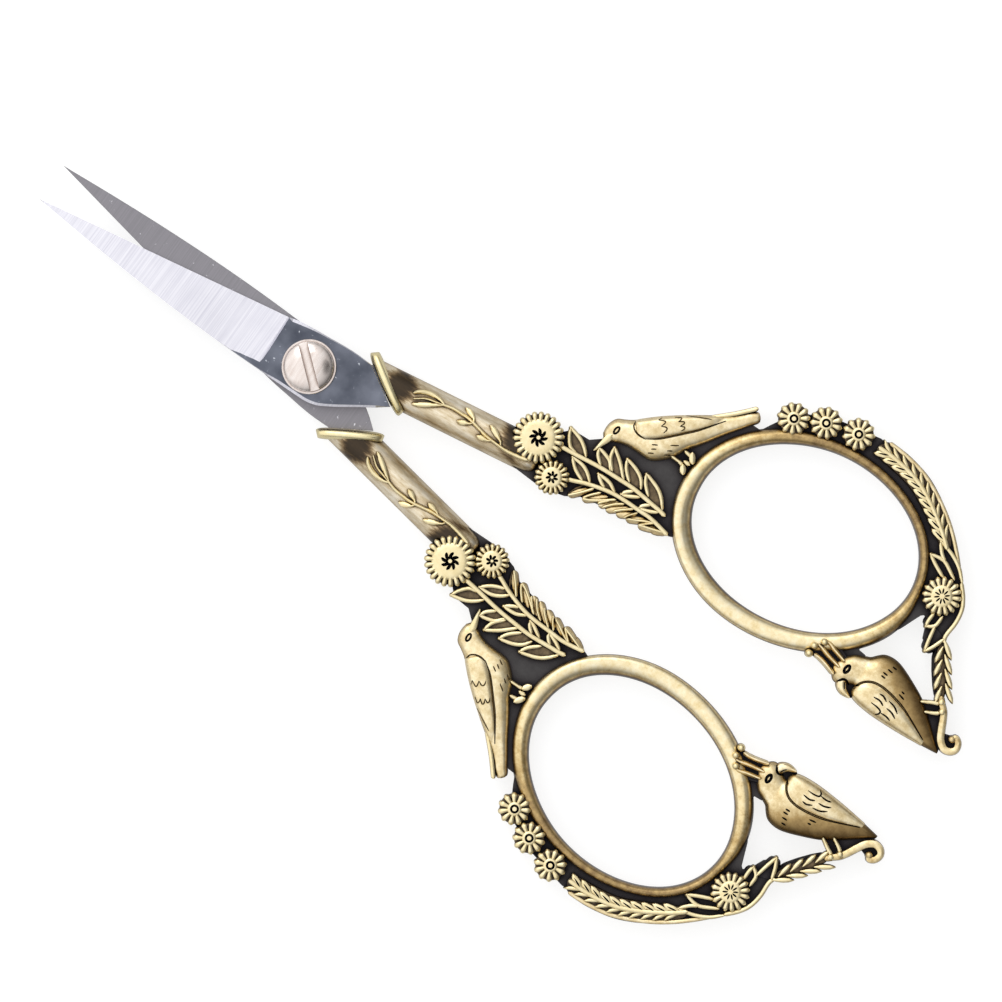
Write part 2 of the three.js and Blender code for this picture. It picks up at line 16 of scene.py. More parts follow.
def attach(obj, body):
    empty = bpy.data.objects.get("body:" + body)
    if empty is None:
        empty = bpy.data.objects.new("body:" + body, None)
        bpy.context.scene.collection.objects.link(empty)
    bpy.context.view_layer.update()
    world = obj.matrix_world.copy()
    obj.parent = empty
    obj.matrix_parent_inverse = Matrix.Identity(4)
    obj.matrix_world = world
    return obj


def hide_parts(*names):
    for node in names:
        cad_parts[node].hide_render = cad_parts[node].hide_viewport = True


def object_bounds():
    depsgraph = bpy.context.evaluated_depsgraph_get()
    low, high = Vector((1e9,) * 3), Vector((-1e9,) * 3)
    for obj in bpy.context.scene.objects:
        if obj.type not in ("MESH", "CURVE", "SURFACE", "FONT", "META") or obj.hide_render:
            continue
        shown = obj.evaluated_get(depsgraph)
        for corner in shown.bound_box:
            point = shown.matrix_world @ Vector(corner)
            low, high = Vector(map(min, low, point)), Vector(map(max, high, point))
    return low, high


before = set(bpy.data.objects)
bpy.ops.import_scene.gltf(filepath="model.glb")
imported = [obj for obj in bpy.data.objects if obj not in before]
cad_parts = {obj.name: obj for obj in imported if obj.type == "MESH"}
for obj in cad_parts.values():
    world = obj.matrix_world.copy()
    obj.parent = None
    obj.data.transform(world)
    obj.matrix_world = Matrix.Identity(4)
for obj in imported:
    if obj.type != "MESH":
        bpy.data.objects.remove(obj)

cad_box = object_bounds()
print("CAD nodes:", sorted(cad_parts))

# %% [markdown]
# The photograph looks straight down. A long lens far above the object gives the same flat view, and keeps
# it a perspective camera that other views can move. The camera is rolled so that the blades point to the
# upper left.

# %% Camera
VIEW_CENTRE = (0.0276, 0.0003)
VIEW_WIDTH = 0.1182
VIEW_HEIGHT = 1.2
VIEW_ROLL = math.radians(35.6)
MIDDLE = 0.0025  # height of the plane where the two blades ride
SENSOR = 36.0

camera = bpy.data.objects.new("camera", bpy.data.cameras.new("camera"))
bpy.context.scene.collection.objects.link(camera)
camera.location = (*VIEW_CENTRE, MIDDLE + VIEW_HEIGHT)
camera.rotation_euler = (0.0, 0.0, VIEW_ROLL)
camera.data.sensor_width = SENSOR
camera.data.lens = SENSOR * VIEW_HEIGHT / VIEW_WIDTH
camera.data.clip_end = 10.0
bpy.context.scene.camera = camera
print("lens", round(camera.data.lens), "mm")

# %% [markdown]
# Node trees for finishes and for Geometry Nodes are built by one small function. It adds a node, sets it
# up, and links or fills its sockets. Colours are written as sRGB hex values, as a paint chart gives them,
# and turned to linear light here.

# %% Nodes and colours
def add(tree, kind, inputs=None, **settings):
    """A new node. An input is a value, a socket, or a node, which stands for its first output."""
    made = tree.nodes.new(kind)
    for name, value in settings.items():
        setattr(made, name, value)
    for socket, value in (inputs or {}).items():
        if isinstance(value, bpy.types.Node):
            value = value.outputs[0]
        if isinstance(value, bpy.types.NodeSocket):
            tree.links.new(value, made.inputs[socket])
        else:
            made.inputs[socket].default_value = value
    return made


def linear(hex_colour):
    parts = [int(hex_colour[i:i + 2], 16) / 255 for i in (1, 3, 5)]
    return (*(c / 12.92 if c <= 0.04045 else ((c + 0.055) / 1.055) ** 2.4 for c in parts), 1.0)


def new_finish(name):
    material = bpy.data.materials.new(name)
    material.use_nodes = True
    material.node_tree.nodes.clear()
    return material, material.node_tree


def set_ramp(ramp_node, stops):
    elements = ramp_node.color_ramp.elements
    while len(elements) < len(stops):
        elements.new(0.5)
    for element, (place, colour) in zip(elements, stops):
        element.position = place
        element.color = linear(colour)


# %% [markdown]
# The handles are cast brass that was blackened all over and then rubbed back. The black stays in the ground
# and in every crease, and the rubbed tops are pale brass. Painting that by hand would take days. It follows
# from the shape: how far a point stands above the middle of the casting, and how open it is to its
# surroundings, which the Ambient Occlusion node measures. Both also paint shade: occlusion darkens the foot
# of each relief and the ground beside it, and height darkens the flanks of round forms. Eight finishes share
# one tree, from the bright collar to the black ground.

# %% Antique brass
CREASE_REACH = 0.0004
CREASE_DULLNESS = 0.15
AO_SAMPLES = 10
MOTTLE_SIZE = 1.2  # in the millimetres of the drawing, which every casting carries as an attribute
MOTTLE_RANGE = (0.34, 0.62)
RUB_ANGLE = math.radians(5)
DARK_PATCH_FRAY = 4.0
DARK_PATCH_EDGE = (1.2, 2.8)  # how far past its size a dark patch starts to clear, and where it is gone
DARK_PATCH_LEFT = 0.12
GRAIN_SIZE = 0.00014  # a real casting grain of 0.05 mm is drawn coarser, so that it shows
GRAIN_STRENGTH = 0.14
GRAIN_DEPTH = 0.00003
LACQUER_ROUGHNESS = 0.2


def antique_brass(
    name, stops, rub_and_light, crease, roughness, reach=CREASE_REACH, mottling=0.14, lacquer=0.0, stretch=1.0,
    dark_patches=(), shaded_side=None,
):
    """Brass running through the stops from the black of a crease, patina and painted shade, to the pale
    rubbed tops.
    """
    material, tree = new_finish(name)
    place = add(tree, "ShaderNodeTexCoord").outputs["Object"]
    axes = add(tree, "ShaderNodeSeparateXYZ", {0: place})
    above = add(tree, "ShaderNodeMath", {0: axes.outputs["Z"], 1: MIDDLE}, operation="SUBTRACT")
    height = add(tree, "ShaderNodeMath", {0: above}, operation="ABSOLUTE")
    # Partly wear and partly painted shade: higher points are paler, so round forms get pale tops and darker
    # flanks.
    rubbed_and_lit = add(tree, "ShaderNodeMapRange", {
        "Value": height, "From Min": rub_and_light[0], "From Max": rub_and_light[1],
    }, interpolation_type="SMOOTHSTEP")
    # Painted shade over the real blackening: occlusion darkens creases, the foot of each relief and the
    # ground near it.
    around = add(tree, "ShaderNodeAmbientOcclusion", {
        "Distance": reach,
    }, samples=AO_SAMPLES, only_local=True)
    opened = add(tree, "ShaderNodeMapRange", {
        "Value": around.outputs["AO"], "From Min": crease[0], "From Max": crease[1],
    }, interpolation_type="SMOOTHSTEP")
    drawn = add(tree, "ShaderNodeAttribute", attribute_name="drawn").outputs["Vector"]
    along = add(tree, "ShaderNodeMapping", {
        "Vector": drawn, "Rotation": (0, 0, -RUB_ANGLE), "Scale": (1 / stretch, 1, 1),
    })
    mottle = add(tree, "ShaderNodeTexNoise", {
        "Vector": along, "Scale": 1 / MOTTLE_SIZE, "Detail": 9.0, "Roughness": 0.75,
    })
    shares = [rubbed_and_lit, opened, add(tree, "ShaderNodeMapRange", {
        "Value": mottle, "From Min": MOTTLE_RANGE[0], "From Max": MOTTLE_RANGE[1], "To Min": 1 - mottling,
    })]
    # Painted shade: one side of the piece, along a direction in the drawing, is darkened.
    if shaded_side:
        way, start, end, least = shaded_side
        side = add(tree, "ShaderNodeVectorMath", {0: drawn, 1: way}, operation="DOT_PRODUCT")
        shares.append(add(tree, "ShaderNodeMapRange", {
            "Value": side.outputs["Value"], "From Min": start, "From Max": end, "To Min": least,
        }))
    for centre, size in dark_patches:
        away = add(tree, "ShaderNodeVectorMath", {0: drawn, 1: centre}, operation="DISTANCE")
        frayed = add(tree, "ShaderNodeMath", {
            0: mottle, 1: DARK_PATCH_FRAY, 2: away.outputs["Value"],
        }, operation="MULTIPLY_ADD")
        shares.append(add(tree, "ShaderNodeMapRange", {
            "Value": frayed, "From Min": size + DARK_PATCH_EDGE[0], "From Max": size + DARK_PATCH_EDGE[1],
            "To Min": DARK_PATCH_LEFT,
        }, interpolation_type="SMOOTHSTEP"))
    worn_and_lit = shares[0]
    for share in shares[1:]:
        worn_and_lit = add(tree, "ShaderNodeMath", {0: worn_and_lit, 1: share}, operation="MULTIPLY")
    colour = add(tree, "ShaderNodeValToRGB", {0: worn_and_lit})
    set_ramp(colour, stops)
    dull = add(tree, "ShaderNodeMapRange", {
        "Value": worn_and_lit, "To Min": roughness + CREASE_DULLNESS, "To Max": roughness,
    })
    grain = add(tree, "ShaderNodeTexNoise", {"Vector": place, "Scale": 1 / GRAIN_SIZE, "Detail": 3.0})
    bump = add(tree, "ShaderNodeBump", {
        "Height": grain, "Strength": GRAIN_STRENGTH, "Distance": GRAIN_DEPTH,
    })
    shader = add(tree, "ShaderNodeBsdfPrincipled", {
        "Base Color": colour, "Metallic": 1.0, "Roughness": dull, "Normal": bump,
        "Coat Weight": lacquer, "Coat Roughness": LACQUER_ROUGHNESS,
    })
    add(tree, "ShaderNodeOutputMaterial", {"Surface": shader})
    return material


# Rubbed relief: pale cream brass, brown at the foot and in the creases, partly patina and partly painted
# shade.
relief = antique_brass("antique_brass_rubbed_relief", [
    (0.0, "#2a211a"), (0.25, "#6e5839"), (0.5, "#b4965f"), (0.75, "#e8d39d"), (1.0, "#f9ebc0"),
], (0.0003, 0.0015), (0.25, 0.8), 0.32, reach=0.0005, mottling=0.2)
# Birds: the same, but more worn, as large round forms are, and brown on the flanks, partly as painted shade.
BIRD_LOOK = ([
    (0.0, "#2a211a"), (0.3, "#735c3a"), (0.6, "#b69a68"), (0.85, "#e6d1a2"), (1.0, "#fff0ca"),
], (0.0002, 0.0015), (0.2, 0.7), 0.33)
bird_brass = antique_brass("antique_brass_rubbed_bird", *BIRD_LOOK, mottling=0.24)
# Crested bird: browner along its back, between the twig and the tail, which is painted shade.
crested_brass = antique_brass(
    "antique_brass_crested_bird", *BIRD_LOOK, mottling=0.3, shaded_side=((-0.6, -0.8, 0.0), -52.0, -48.6, 0.38),
)
# Ring: cream along the crest, brown on the flanks, partly wear and partly painted shade, and lacquered. The
# blue grey on the wall of the opening is a painted reflection. Painted shade darkens the side along the
# border.
ring_brass = antique_brass("antique_brass_satin_ring", [
    (0.0, "#67686d"), (0.2, "#5a5551"), (0.36, "#54432f"), (0.55, "#856a44"), (0.7, "#c6a970"),
    (0.83, "#eed9a6"), (1.0, "#fff3d0"),
], (0.0003, 0.0016), (0.15, 0.7), 0.32, mottling=0.22, lacquer=0.5,
    shaded_side=((-0.33, -0.95, 0.0), -41.0, -26.0, 0.68))
# Shank: streaked pink brown, browner down its sides, partly wear and partly painted shade, lacquered, with
# two dark patches, by the collar and by the large flower.
shank_brass = antique_brass("antique_brass_lacquered_shank", [
    (0.0, "#1d1713"), (0.25, "#5c4a33"), (0.5, "#9c8462"), (0.75, "#d8c5a1"), (1.0, "#fff5e0"),
], (-0.0012, 0.0014), (0.5, 0.97), 0.34, reach=0.0008, mottling=0.4, lacquer=0.4, stretch=5.0,
    dark_patches=(((10.2, 3.6, 0.0), 1.8), ((26.2, 6.0, 0.0), 2.6)))
# Collar: polished all over.
bright_brass = antique_brass("antique_brass_polished_collar", [
    (0.0, "#2a211a"), (0.4, "#8d7244"), (0.8, "#e6d49c"), (1.0, "#f7ebbf"),
], (-0.004, -0.001), (0.1, 0.6), 0.26)
# Sunk faces of the leaves: brown, half rubbed.
leaf_brass = antique_brass("antique_brass_dark_leaf", [
    (0.0, "#231d1a"), (0.5, "#51463a"), (1.0, "#867459"),
], (0.0004, 0.0014), (0.2, 0.95), 0.4, mottling=0.5)
# Ground: black beside the relief, partly patina and partly painted shade, and dark grey with a soft sheen
# where it lies open.
ground = antique_brass("antique_brass_black_ground", [
    (0.0, "#1b1a1e"), (0.5, "#2f2c2e"), (1.0, "#4c4a4a"),
], (0.0002, 0.0008), (0.4, 0.98), 0.4, reach=0.0014)
print("brass finishes:", sum(m.name.startswith("antique_brass_") for m in bpy.data.materials))

# %% [markdown]
# One casting pattern serves both handles, drawn in millimetres in the frame of the closed front half: +X
# from the pivot to the finger ring, +Y outwards, and z = 0 in the middle of the casting. Nearly everything
# in it is a bar that follows a line in plan, so two helpers do most of the work: one draws a smooth line
# through a few points, and one sweeps a section along it. A section is drawn for the upper face only and is
# mirrored below.

# %% Lines, sections and sweeps
pattern = []
cuts = []


def smooth_line(points, steps):
    p = np.asarray(points, float)
    p = np.vstack([2 * p[0] - p[1], p, 2 * p[-1] - p[-2]])
    t = np.linspace(0, len(points) - 1, steps + 1)
    i = np.minimum(t.astype(int), len(points) - 2)
    f = (t - i)[:, None]
    a, b, c, d = (p[i + k] for k in range(4))
    return 0.5 * (2 * b + (c - a) * f + (2 * a - 5 * b + 4 * c - d) * f**2 + (3 * b - a - 3 * c + d) * f**3)


def section(top):
    """A closed section from its upper outline, given from the right edge to the left one."""
    top = np.asarray(top, float)
    return np.vstack([top, top[::-1][1:-1] * (1, -1)])


def round_section(sides, fullness=2.0):
    turn = np.linspace(0, math.pi, sides // 2 + 1)
    across = np.cos(turn)
    up = np.sin(turn)
    shape = (np.abs(across) ** fullness + up**fullness) ** (1 / fullness)
    return section(np.stack([across / shape, up / shape], axis=1))


def body(name, points, faces, finish):
    mesh = bpy.data.meshes.new(name)
    mesh.from_pydata([tuple(p) for p in points], [], faces)
    mesh.materials.append(finish)
    work = bmesh.new()
    work.from_mesh(mesh)
    bmesh.ops.remove_doubles(work, verts=work.verts, dist=1e-5)
    bmesh.ops.recalc_face_normals(work, faces=work.faces)
    work.to_mesh(mesh)
    work.free()
    return bpy.data.objects.new(name, mesh)


def skin(name, rings, finish, closed=False):
    rings = np.asarray(rings, float)
    rows, count = rings.shape[:2]
    faces = []
    for i in range(rows if closed else rows - 1):
        here, after = i * count, (i + 1) % rows * count
        for j in range(count):
            k = (j + 1) % count
            faces.append((here + j, here + k, after + k, after + j))
    if not closed:
        faces.append(tuple(range(count))[::-1])
        faces.append(tuple(range((rows - 1) * count, rows * count)))
    return body(name, rings.reshape(-1, 3), faces, finish)


def across_line(line, closed=False):
    """Unit vectors across a line in plan."""
    if closed:
        along = np.roll(line, -1, axis=0) - np.roll(line, 1, axis=0)
    else:
        along = np.gradient(line, axis=0)
    along /= np.linalg.norm(along, axis=1, keepdims=True)
    return np.stack([-along[:, 1], along[:, 0]], axis=1)


def plan_of(line, width, form, closed=False):
    """The plan of a section laid across each point of a line."""
    width = np.broadcast_to(width, len(line))[:, None, None]
    return line[:, None, :] + across_line(line, closed)[:, None, :] * form[None, :, :1] * width / 2


def sweep(name, line, width, height, form, finish):
    up = form[None, :, 1:] * np.broadcast_to(height, len(line))[:, None, None]
    return skin(name, np.concatenate([plan_of(line, width, form), up], axis=2), finish)


def prism(name, outline, low, high, finish):
    outline = np.asarray(outline, float)
    return skin(name, [np.column_stack([outline, np.full(len(outline), z)]) for z in (low, high)], finish)


def plate(name, outline, height, finish=ground):
    pattern.append(prism(name, outline, -height, height, finish))


def lathe(name, profile, sides, finish, at=(0, 0)):
    """A profile of radii and heights, turned round an upright axis."""
    turn = np.linspace(0, math.tau, sides, endpoint=False)
    x, y = np.cos(turn), np.sin(turn)
    rings = [np.column_stack([at[0] + r * x, at[1] + r * y, np.full(sides, z)]) for r, z in profile]
    return skin(name, rings, finish)


BAR = round_section(14, 4.6)
ROUND_BAR = round_section(14, 3.4)
print("a bar's section has", len(BAR), "points")

# %% [markdown]
# The finger ring is an oval band with a round crest. A few rows give its edges, so that it can narrow along
# the border, where black ground lies beside it, and a section is laid through each row. The shank is a
# round bar, cut at a slant where the collar sits on it like a bead and bends a little towards the blade,
# and rounded off under the flowers.

# %% Ring, shank and collar
RING_AT = np.array((60.3, 13.5))
RING_TILT = math.radians(6)
RING_OPENING = np.array((27.8, 21.2))
RING_BAND = 2.5
RING_HEIGHT = 1.8
COLLAR_AT = np.array((8.8, 3.1))
COLLAR_SLANT = math.radians(-34.6)
COLLAR_LENGTH = 7.9
COLLAR_HEIGHT = 2.45
COLLAR_WIDTH = 1.5
COLLAR_BEND = 0.14
COLLAR_BACK = 0.2
SHANK_ANGLE = math.radians(5.2)
SHANK_LENGTH = 18.5
SHANK_WIDTH = 4.45
SHANK_HEIGHT = 2.15
SHANK_FULLNESS = 2.15
SHANK_ROUND = 2.0
STEEPEST = 86  # degrees, where a round end stops short of a point


def turned(points, angle):
    cos, sin = math.cos(angle), math.sin(angle)
    return np.asarray(points, float) @ np.array([[cos, sin], [-sin, cos]])


def on_ring(angle, outward):
    """A point by its angle round the ring and its distance outside the ring's outer edge."""
    reach = RING_OPENING / 2 + RING_BAND + outward
    turn = np.radians(angle)
    return RING_AT + turned(reach * (math.cos(turn), math.sin(turn)), RING_TILT)


# Rows round the ring: angle, inner and outer edge counted from the opening, where the crest lies between
# them, and how full the section is on the inner and on the outer side.
ring_rows = smooth_line([
    (180, -0.3, 2.15, 0.15, 2.1, 2.6), (150, -0.4, 1.8, 0, 2, 2.2), (120, -0.33, 1.6, 0, 2.2, 2.4),
    (90, -0.1, 1.35, 0, 2.4, 2.6), (60, 0, 1.28, 0, 2.4, 2.6), (30, 0.1, 1.42, 0.1, 2.4, 2.6),
    (0, 0.05, 1.4, 0, 2.4, 2.4), (-15, 0, 1.85, -0.1, 2.6, 2.2), (-30, -0.05, 2.2, -0.1, 2.8, 2),
    (-60, 0, 2.4, 0, 2.8, 2.2), (-90, 0.05, 2.55, 0.1, 2.6, 3), (-120, 0.12, 2.7, 0.3, 2.2, 3.2),
    (-150, 0.05, 2.5, 0.3, 2.0, 3.2), (-180, -0.3, 2.15, 0.15, 2.1, 2.6),
], 182)[:-1]
rings = []
for angle, inner, outer, crest, slope, shoulder in ring_rows:
    inward, outward = (round_section(36, fullness) for fullness in (slope, shoulder))
    form = np.where(inward[:, :1] < 0, inward, outward)
    share = (1 + crest + form[:, 0] * (1 - crest * np.sign(form[:, 0]))) / 2
    plan = [on_ring(angle, inner + (outer - inner) * s - RING_BAND) for s in share]
    rings.append(np.column_stack([plan, form[:, 1] * RING_HEIGHT]))
pattern.append(skin("ring", rings, ring_brass, closed=True))

collar_way = turned([(1, 0)], COLLAR_SLANT)[0]
shank_way = turned([(1, 0)], SHANK_ANGLE)[0]
shank_side = np.array((-shank_way[1], shank_way[0]))
shank_end = COLLAR_AT + shank_way * SHANK_LENGTH
mouth = SHANK_WIDTH / abs(collar_way @ shank_side)
shank_top = np.array([COLLAR_AT - collar_way * mouth / 2, shank_end + shank_side * SHANK_WIDTH / 2])
shank_low = np.array([COLLAR_AT + collar_way * mouth / 2, shank_end - shank_side * SHANK_WIDTH / 2])
shank_form = round_section(44, SHANK_FULLNESS)
rings = []
for t in np.linspace(0, 1, 30):
    top, low = (edge[0] * (1 - t) + edge[1] * t for edge in (shank_top, shank_low))
    plan = (top + low) / 2 + shank_form[:, :1] * (top - low) / 2
    rings.append(np.column_stack([plan, shank_form[:, 1] * SHANK_HEIGHT]))
for bend in np.radians((15, 30, 45, 60, 75, STEEPEST)):
    less = math.cos(bend) ** 0.5
    plan = shank_end + shank_way * SHANK_ROUND * math.sin(bend)
    plan = plan + shank_form[:, :1] * shank_side * SHANK_WIDTH / 2 * less
    rings.append(np.column_stack([plan, shank_form[:, 1] * SHANK_HEIGHT * less]))
pattern.append(skin("shank", rings, shank_brass))

turn = np.linspace(-1, 1, 41) * math.radians(STEEPEST)
to_blade = np.array((collar_way[1], -collar_way[0]))
collar_line = COLLAR_AT + np.sin(turn)[:, None] * collar_way * COLLAR_LENGTH / 2
collar_line += to_blade * (np.cos(turn)[:, None] * COLLAR_BEND - COLLAR_BACK)
pattern.append(sweep(
    "collar", collar_line, COLLAR_WIDTH * np.cos(turn) ** 0.22, COLLAR_HEIGHT * np.cos(turn) ** 0.4,
    round_section(24, 2.6), bright_brass,
))
print("shank ends at", np.round(shank_end, 2))

# %% [markdown]
# A vine climbs the shank as a raised line, with a tulip bud near the collar and small leaves on both sides.
# Each bar stands a set height over the round shank under it, so its height follows the shank's own curve.

# %% Vine on the shank
VINE_RISE = 0.34


def on_shank(line):
    off = np.clip(np.abs((line - COLLAR_AT) @ shank_side) / (SHANK_WIDTH / 2), 0, 0.98)
    return SHANK_HEIGHT * (1 - off**SHANK_FULLNESS) ** (1 / SHANK_FULLNESS)


def bar(name, points, width, height, finish=relief, form=BAR):
    """A bar with round ends along a line, its width given at even steps from end to end."""
    line = smooth_line(points, max(8, 8 * (len(points) - 1)))
    run = np.concatenate([[0], np.cumsum(np.linalg.norm(np.diff(line, axis=0), axis=1))])
    widths = np.atleast_1d(width)
    ends = np.minimum((widths[0] / 2, widths[-1] / 2), run[-1] / 3)
    curve = 1 - np.cos(np.linspace(0, math.pi / 2, 4))
    inner = run[(run > ends[0]) & (run < run[-1] - ends[1])]
    at = np.concatenate([ends[0] * curve, inner, run[-1] - (ends[1] * curve)[::-1]])
    line = np.column_stack([np.interp(at, run, line[:, k]) for k in (0, 1)])
    taper = np.interp(at / run[-1], np.linspace(0, 1, len(widths)), widths)
    for end, away in zip(ends, (at, run[-1] - at)):
        short = np.clip(1 - away / end, 0, 0.97)
        taper = taper * np.sqrt(1 - short**2)
    rise = height(line) + VINE_RISE if callable(height) else height
    pattern.append(sweep(name, line, taper, rise, form, finish))


bar("vine_stem", [
    (15.6, 4.4), (17.02, 4.69), (18.29, 4.68), (19.64, 4.56), (20.95, 4.24),
    (22.07, 3.97), (23.27, 3.84), (24.93, 3.74), (26.44, 3.87), (27.7, 4.1),
], (0.4, 0.52, 0.52, 0.52, 0.55, 0.6, 0.65), on_shank)
for name, points, widths in (
    ("upper", [(12.07, 3.79), (12.74, 4.37), (13.77, 4.77), (15.01, 4.81), (15.98, 4.5)],
     (0.5, 0.66, 0.68, 0.58, 0.36)),
    ("middle", [(12.45, 3.22), (13.63, 3.96), (14.89, 4.27), (15.7, 4.45)], (0.3, 0.4, 0.4, 0.28)),
    ("lower", [(12.6, 2.6), (13.42, 3.0), (14.71, 3.73), (15.9, 4.45)], (0.55, 0.76, 0.78, 0.66, 0.32)),
):
    bar(f"tulip_{name}", points, widths, on_shank)
for name, points in zip("abcd", (
    [(18.3, 5.6), (18.87, 5.4), (19.66, 5.0), (20.0, 4.5)],
    [(18.2, 3.68), (18.93, 3.89), (19.61, 4.2), (19.9, 4.45)],
    [(21.8, 5.35), (22.53, 5.04), (23.74, 4.36), (24.1, 3.9)],
    [(21.05, 3.4), (21.71, 3.5), (22.41, 3.6), (22.8, 3.8)],
)):
    bar(f"vine_leaf_{name}", points, (0.4, 0.82, 0.78, 0.5, 0.34), on_shank)
print("vine bars:", len(pattern) - 3)

# %% [markdown]
# A leaf of this casting is drawn by its outline: two raised rims that run from the stem to the tip, round a
# sunk face that stayed dark. So a leaf is two bars and a plate. The fringe at the edge of the panel is a
# row of such rims that lean one over the other and run together in a rounded margin.

# %% Leaves of the panel
WEB_HEIGHT = 0.9
LEAF_FLOOR = 1.22
LEAF_HEIGHT = 1.65
STEM_HEIGHT = 1.8
RIM_WIDTH = 0.55
SLIT_WIDTH = 0.2
TOOL_RISE = 0.4
TOOL_FLARE = 0.8
TOOL_NOSE = 0.3
UNDER_WEB = 0.06


def carve(name, line, width, surface, depth, closed=False, finish=ground):
    """Two tools, one for each face, that cut a groove with sloping sides along a line."""
    flare = 1 + TOOL_FLARE * TOOL_RISE / depth
    tool = np.array([(flare, TOOL_RISE), (TOOL_NOSE, -depth), (-TOOL_NOSE, -depth), (-flare, TOOL_RISE)])
    plan = plan_of(line, width, tool, closed)
    up = (np.broadcast_to(surface, len(line))[:, None] + tool[None, :, 1])[..., None]
    return [skin(name, np.concatenate([plan, side * up], axis=2), finish, closed) for side in (1, -1)]


def bead(name, at, radius, height, finish=relief):
    turn = np.linspace(-1, 1, 11) * math.radians(83)
    line = np.column_stack([at[0] + radius * np.sin(turn), np.full(len(turn), at[1])])
    less = np.cos(turn)
    pattern.append(sweep(name, line, 2 * radius * less, height * less**0.25, round_section(14, 3.6), finish))


def rim_leaf(name, left, right, floor=LEAF_FLOOR, face=leaf_brass, margin=0.0):
    """Two rims that meet in a tip round a sunk face, with a margin of ground if one is asked for."""
    for side, points in (("left", left), ("right", right)):
        bar(f"{name}_{side}", points, RIM_WIDTH * np.array((0.8, 1, 1, 0.85)), LEAF_HEIGHT)
        if margin:
            bar(f"{name}_{side}_margin", points, RIM_WIDTH + 2 * margin, WEB_HEIGHT - UNDER_WEB, ground)
    bead(f"{name}_tip", (np.asarray(left[-1]) + right[-1]) / 2, RIM_WIDTH / 2, LEAF_HEIGHT)
    outline = np.vstack([smooth_line(left, 8), smooth_line(right, 8)[::-1]])
    plate(f"{name}_face", outline, floor, face)


bar("upper_stem", [
    (29.9, 7.5), (30.7, 7.58), (32.32, 7.66), (35.26, 7.86), (37.87, 7.86),
    (39.85, 7.82), (41.5, 7.6), (43.05, 7.34), (44.1, 7.18), (45.0, 6.95),
], 0.64, STEM_HEIGHT)
bar("lower_stem", [
    (32.8, 4.65), (33.7, 4.92), (34.9, 5.35), (36.74, 5.79), (38.4, 6.04), (40.15, 6.05),
    (41.84, 5.95), (43.14, 5.91), (44.09, 5.78), (45.19, 5.52), (46.4, 5.2),
], 0.62, STEM_HEIGHT)
panel_leaves = [
    ([(32.2, 7.8), (31.2, 8.1), (30.45, 9.05), (30.05, 10.0)],
     [(33.4, 8.0), (32.7, 8.8), (31.7, 9.5), (30.1, 10.05)]),
    ([(35.4, 8.05), (34.5, 8.95), (34.15, 9.75)],
     [(36.65, 8.15), (36.05, 9.05), (35.25, 9.45), (34.2, 9.78)]),
    ([(36.9, 8.2), (35.95, 9.4), (35.62, 10.7)], [(38.65, 7.95), (37.2, 9.55), (35.72, 10.74)]),
    ([(39.3, 8.15), (38.2, 9.3), (37.65, 10.35)],
     [(40.9, 8.15), (40.3, 9.15), (39.3, 9.85), (37.72, 10.4)]),
    ([(42.1, 7.9), (41.05, 9.0), (40.5, 10.0)], [(44.3, 7.4), (43.55, 8.45), (42.5, 9.3), (40.56, 10.1)]),
    ([(34.5, 5.4), (33.1, 6.15), (32.0, 7.2)], [(35.4, 5.6), (34.65, 6.4), (33.6, 7.0), (32.05, 7.25)]),
    ([(37.2, 6.0), (36.4, 6.5), (35.65, 7.1)], [(38.6, 6.1), (37.35, 6.9), (35.68, 7.15)]),
    ([(40.3, 7.6), (39.57, 7.0), (39.2, 6.5)], [(41.3, 7.35), (39.9, 6.64), (39.24, 6.45)]),
    ([(42.9, 7.3), (42.09, 6.64), (41.82, 6.2)], [(44.1, 6.98), (43.15, 6.51), (41.85, 6.1)]),
]
for i, (left, right) in enumerate(panel_leaves):
    rim_leaf(f"panel_leaf_{i}", left, right)
fringe = [
    ([(36.1, 5.36), (35.1, 4.24), (34.36, 3.51), (33.88, 3.1)], 0.46),
    ([(37.06, 5.4), (36.27, 4.62), (35.76, 4.0), (35.6, 3.65)], 0.42),
    ([(39.0, 5.6), (38.05, 4.94), (37.05, 4.31), (36.32, 3.9), (35.6, 3.65)], 0.46),
    ([(38.4, 5.1), (37.73, 4.48), (37.4, 4.1)], 0.42),
    ([(40.1, 5.7), (39.17, 5.07), (38.49, 4.41), (38.1, 4.0)], 0.42),
    ([(41.35, 5.75), (40.45, 5.12), (39.8, 4.59), (39.45, 4.25)], 0.42),
    ([(42.0, 5.65), (41.28, 4.86), (40.9, 4.3)], 0.4),
    ([(44.3, 5.6), (43.25, 5.23), (42.25, 4.75), (41.3, 4.35)], 0.42),
    ([(44.3, 5.6), (43.5, 5.01), (42.84, 4.49)], 0.4),
    ([(46.0, 5.3), (44.66, 4.92), (43.61, 4.65), (42.8, 4.46)], 0.46),
]
for i, (points, width) in enumerate(fringe):
    bar(f"fringe_{i}", points, width, LEAF_HEIGHT)
for i, points in enumerate((
    [(36.0, 5.2), (34.9, 4.1), (33.9, 3.1)], [(38.0, 5.4), (36.9, 4.5), (35.6, 3.55)],
    [(39.4, 5.5), (38.5, 4.7), (37.6, 3.95)], [(40.8, 5.6), (39.8, 4.8), (38.6, 3.95)],
    [(42.0, 5.5), (41.1, 4.8), (39.9, 4.2)], [(43.6, 5.45), (42.4, 4.85), (41.2, 4.28)],
    [(45.6, 5.3), (44.3, 4.85), (42.8, 4.4)], [(46.2, 5.3), (45.3, 5.05), (44.3, 4.72)],
)):
    bar(f"fringe_lobe_{i}", points, (0.7, 1.1, 1.05), 1.3, bird_brass, ROUND_BAR)
bar("fringe_first", [(34.85, 5.1), (34.32, 4.28), (33.9, 3.45)], (0.2, 0.34, 0.3), 1.3, leaf_brass)


def bird_a(x, y):
    """A place on the long-tailed bird, drawn along its back from where it touches the ring."""
    return on_ring(150, 0) + turned([(x, y)], math.radians(35))[0]


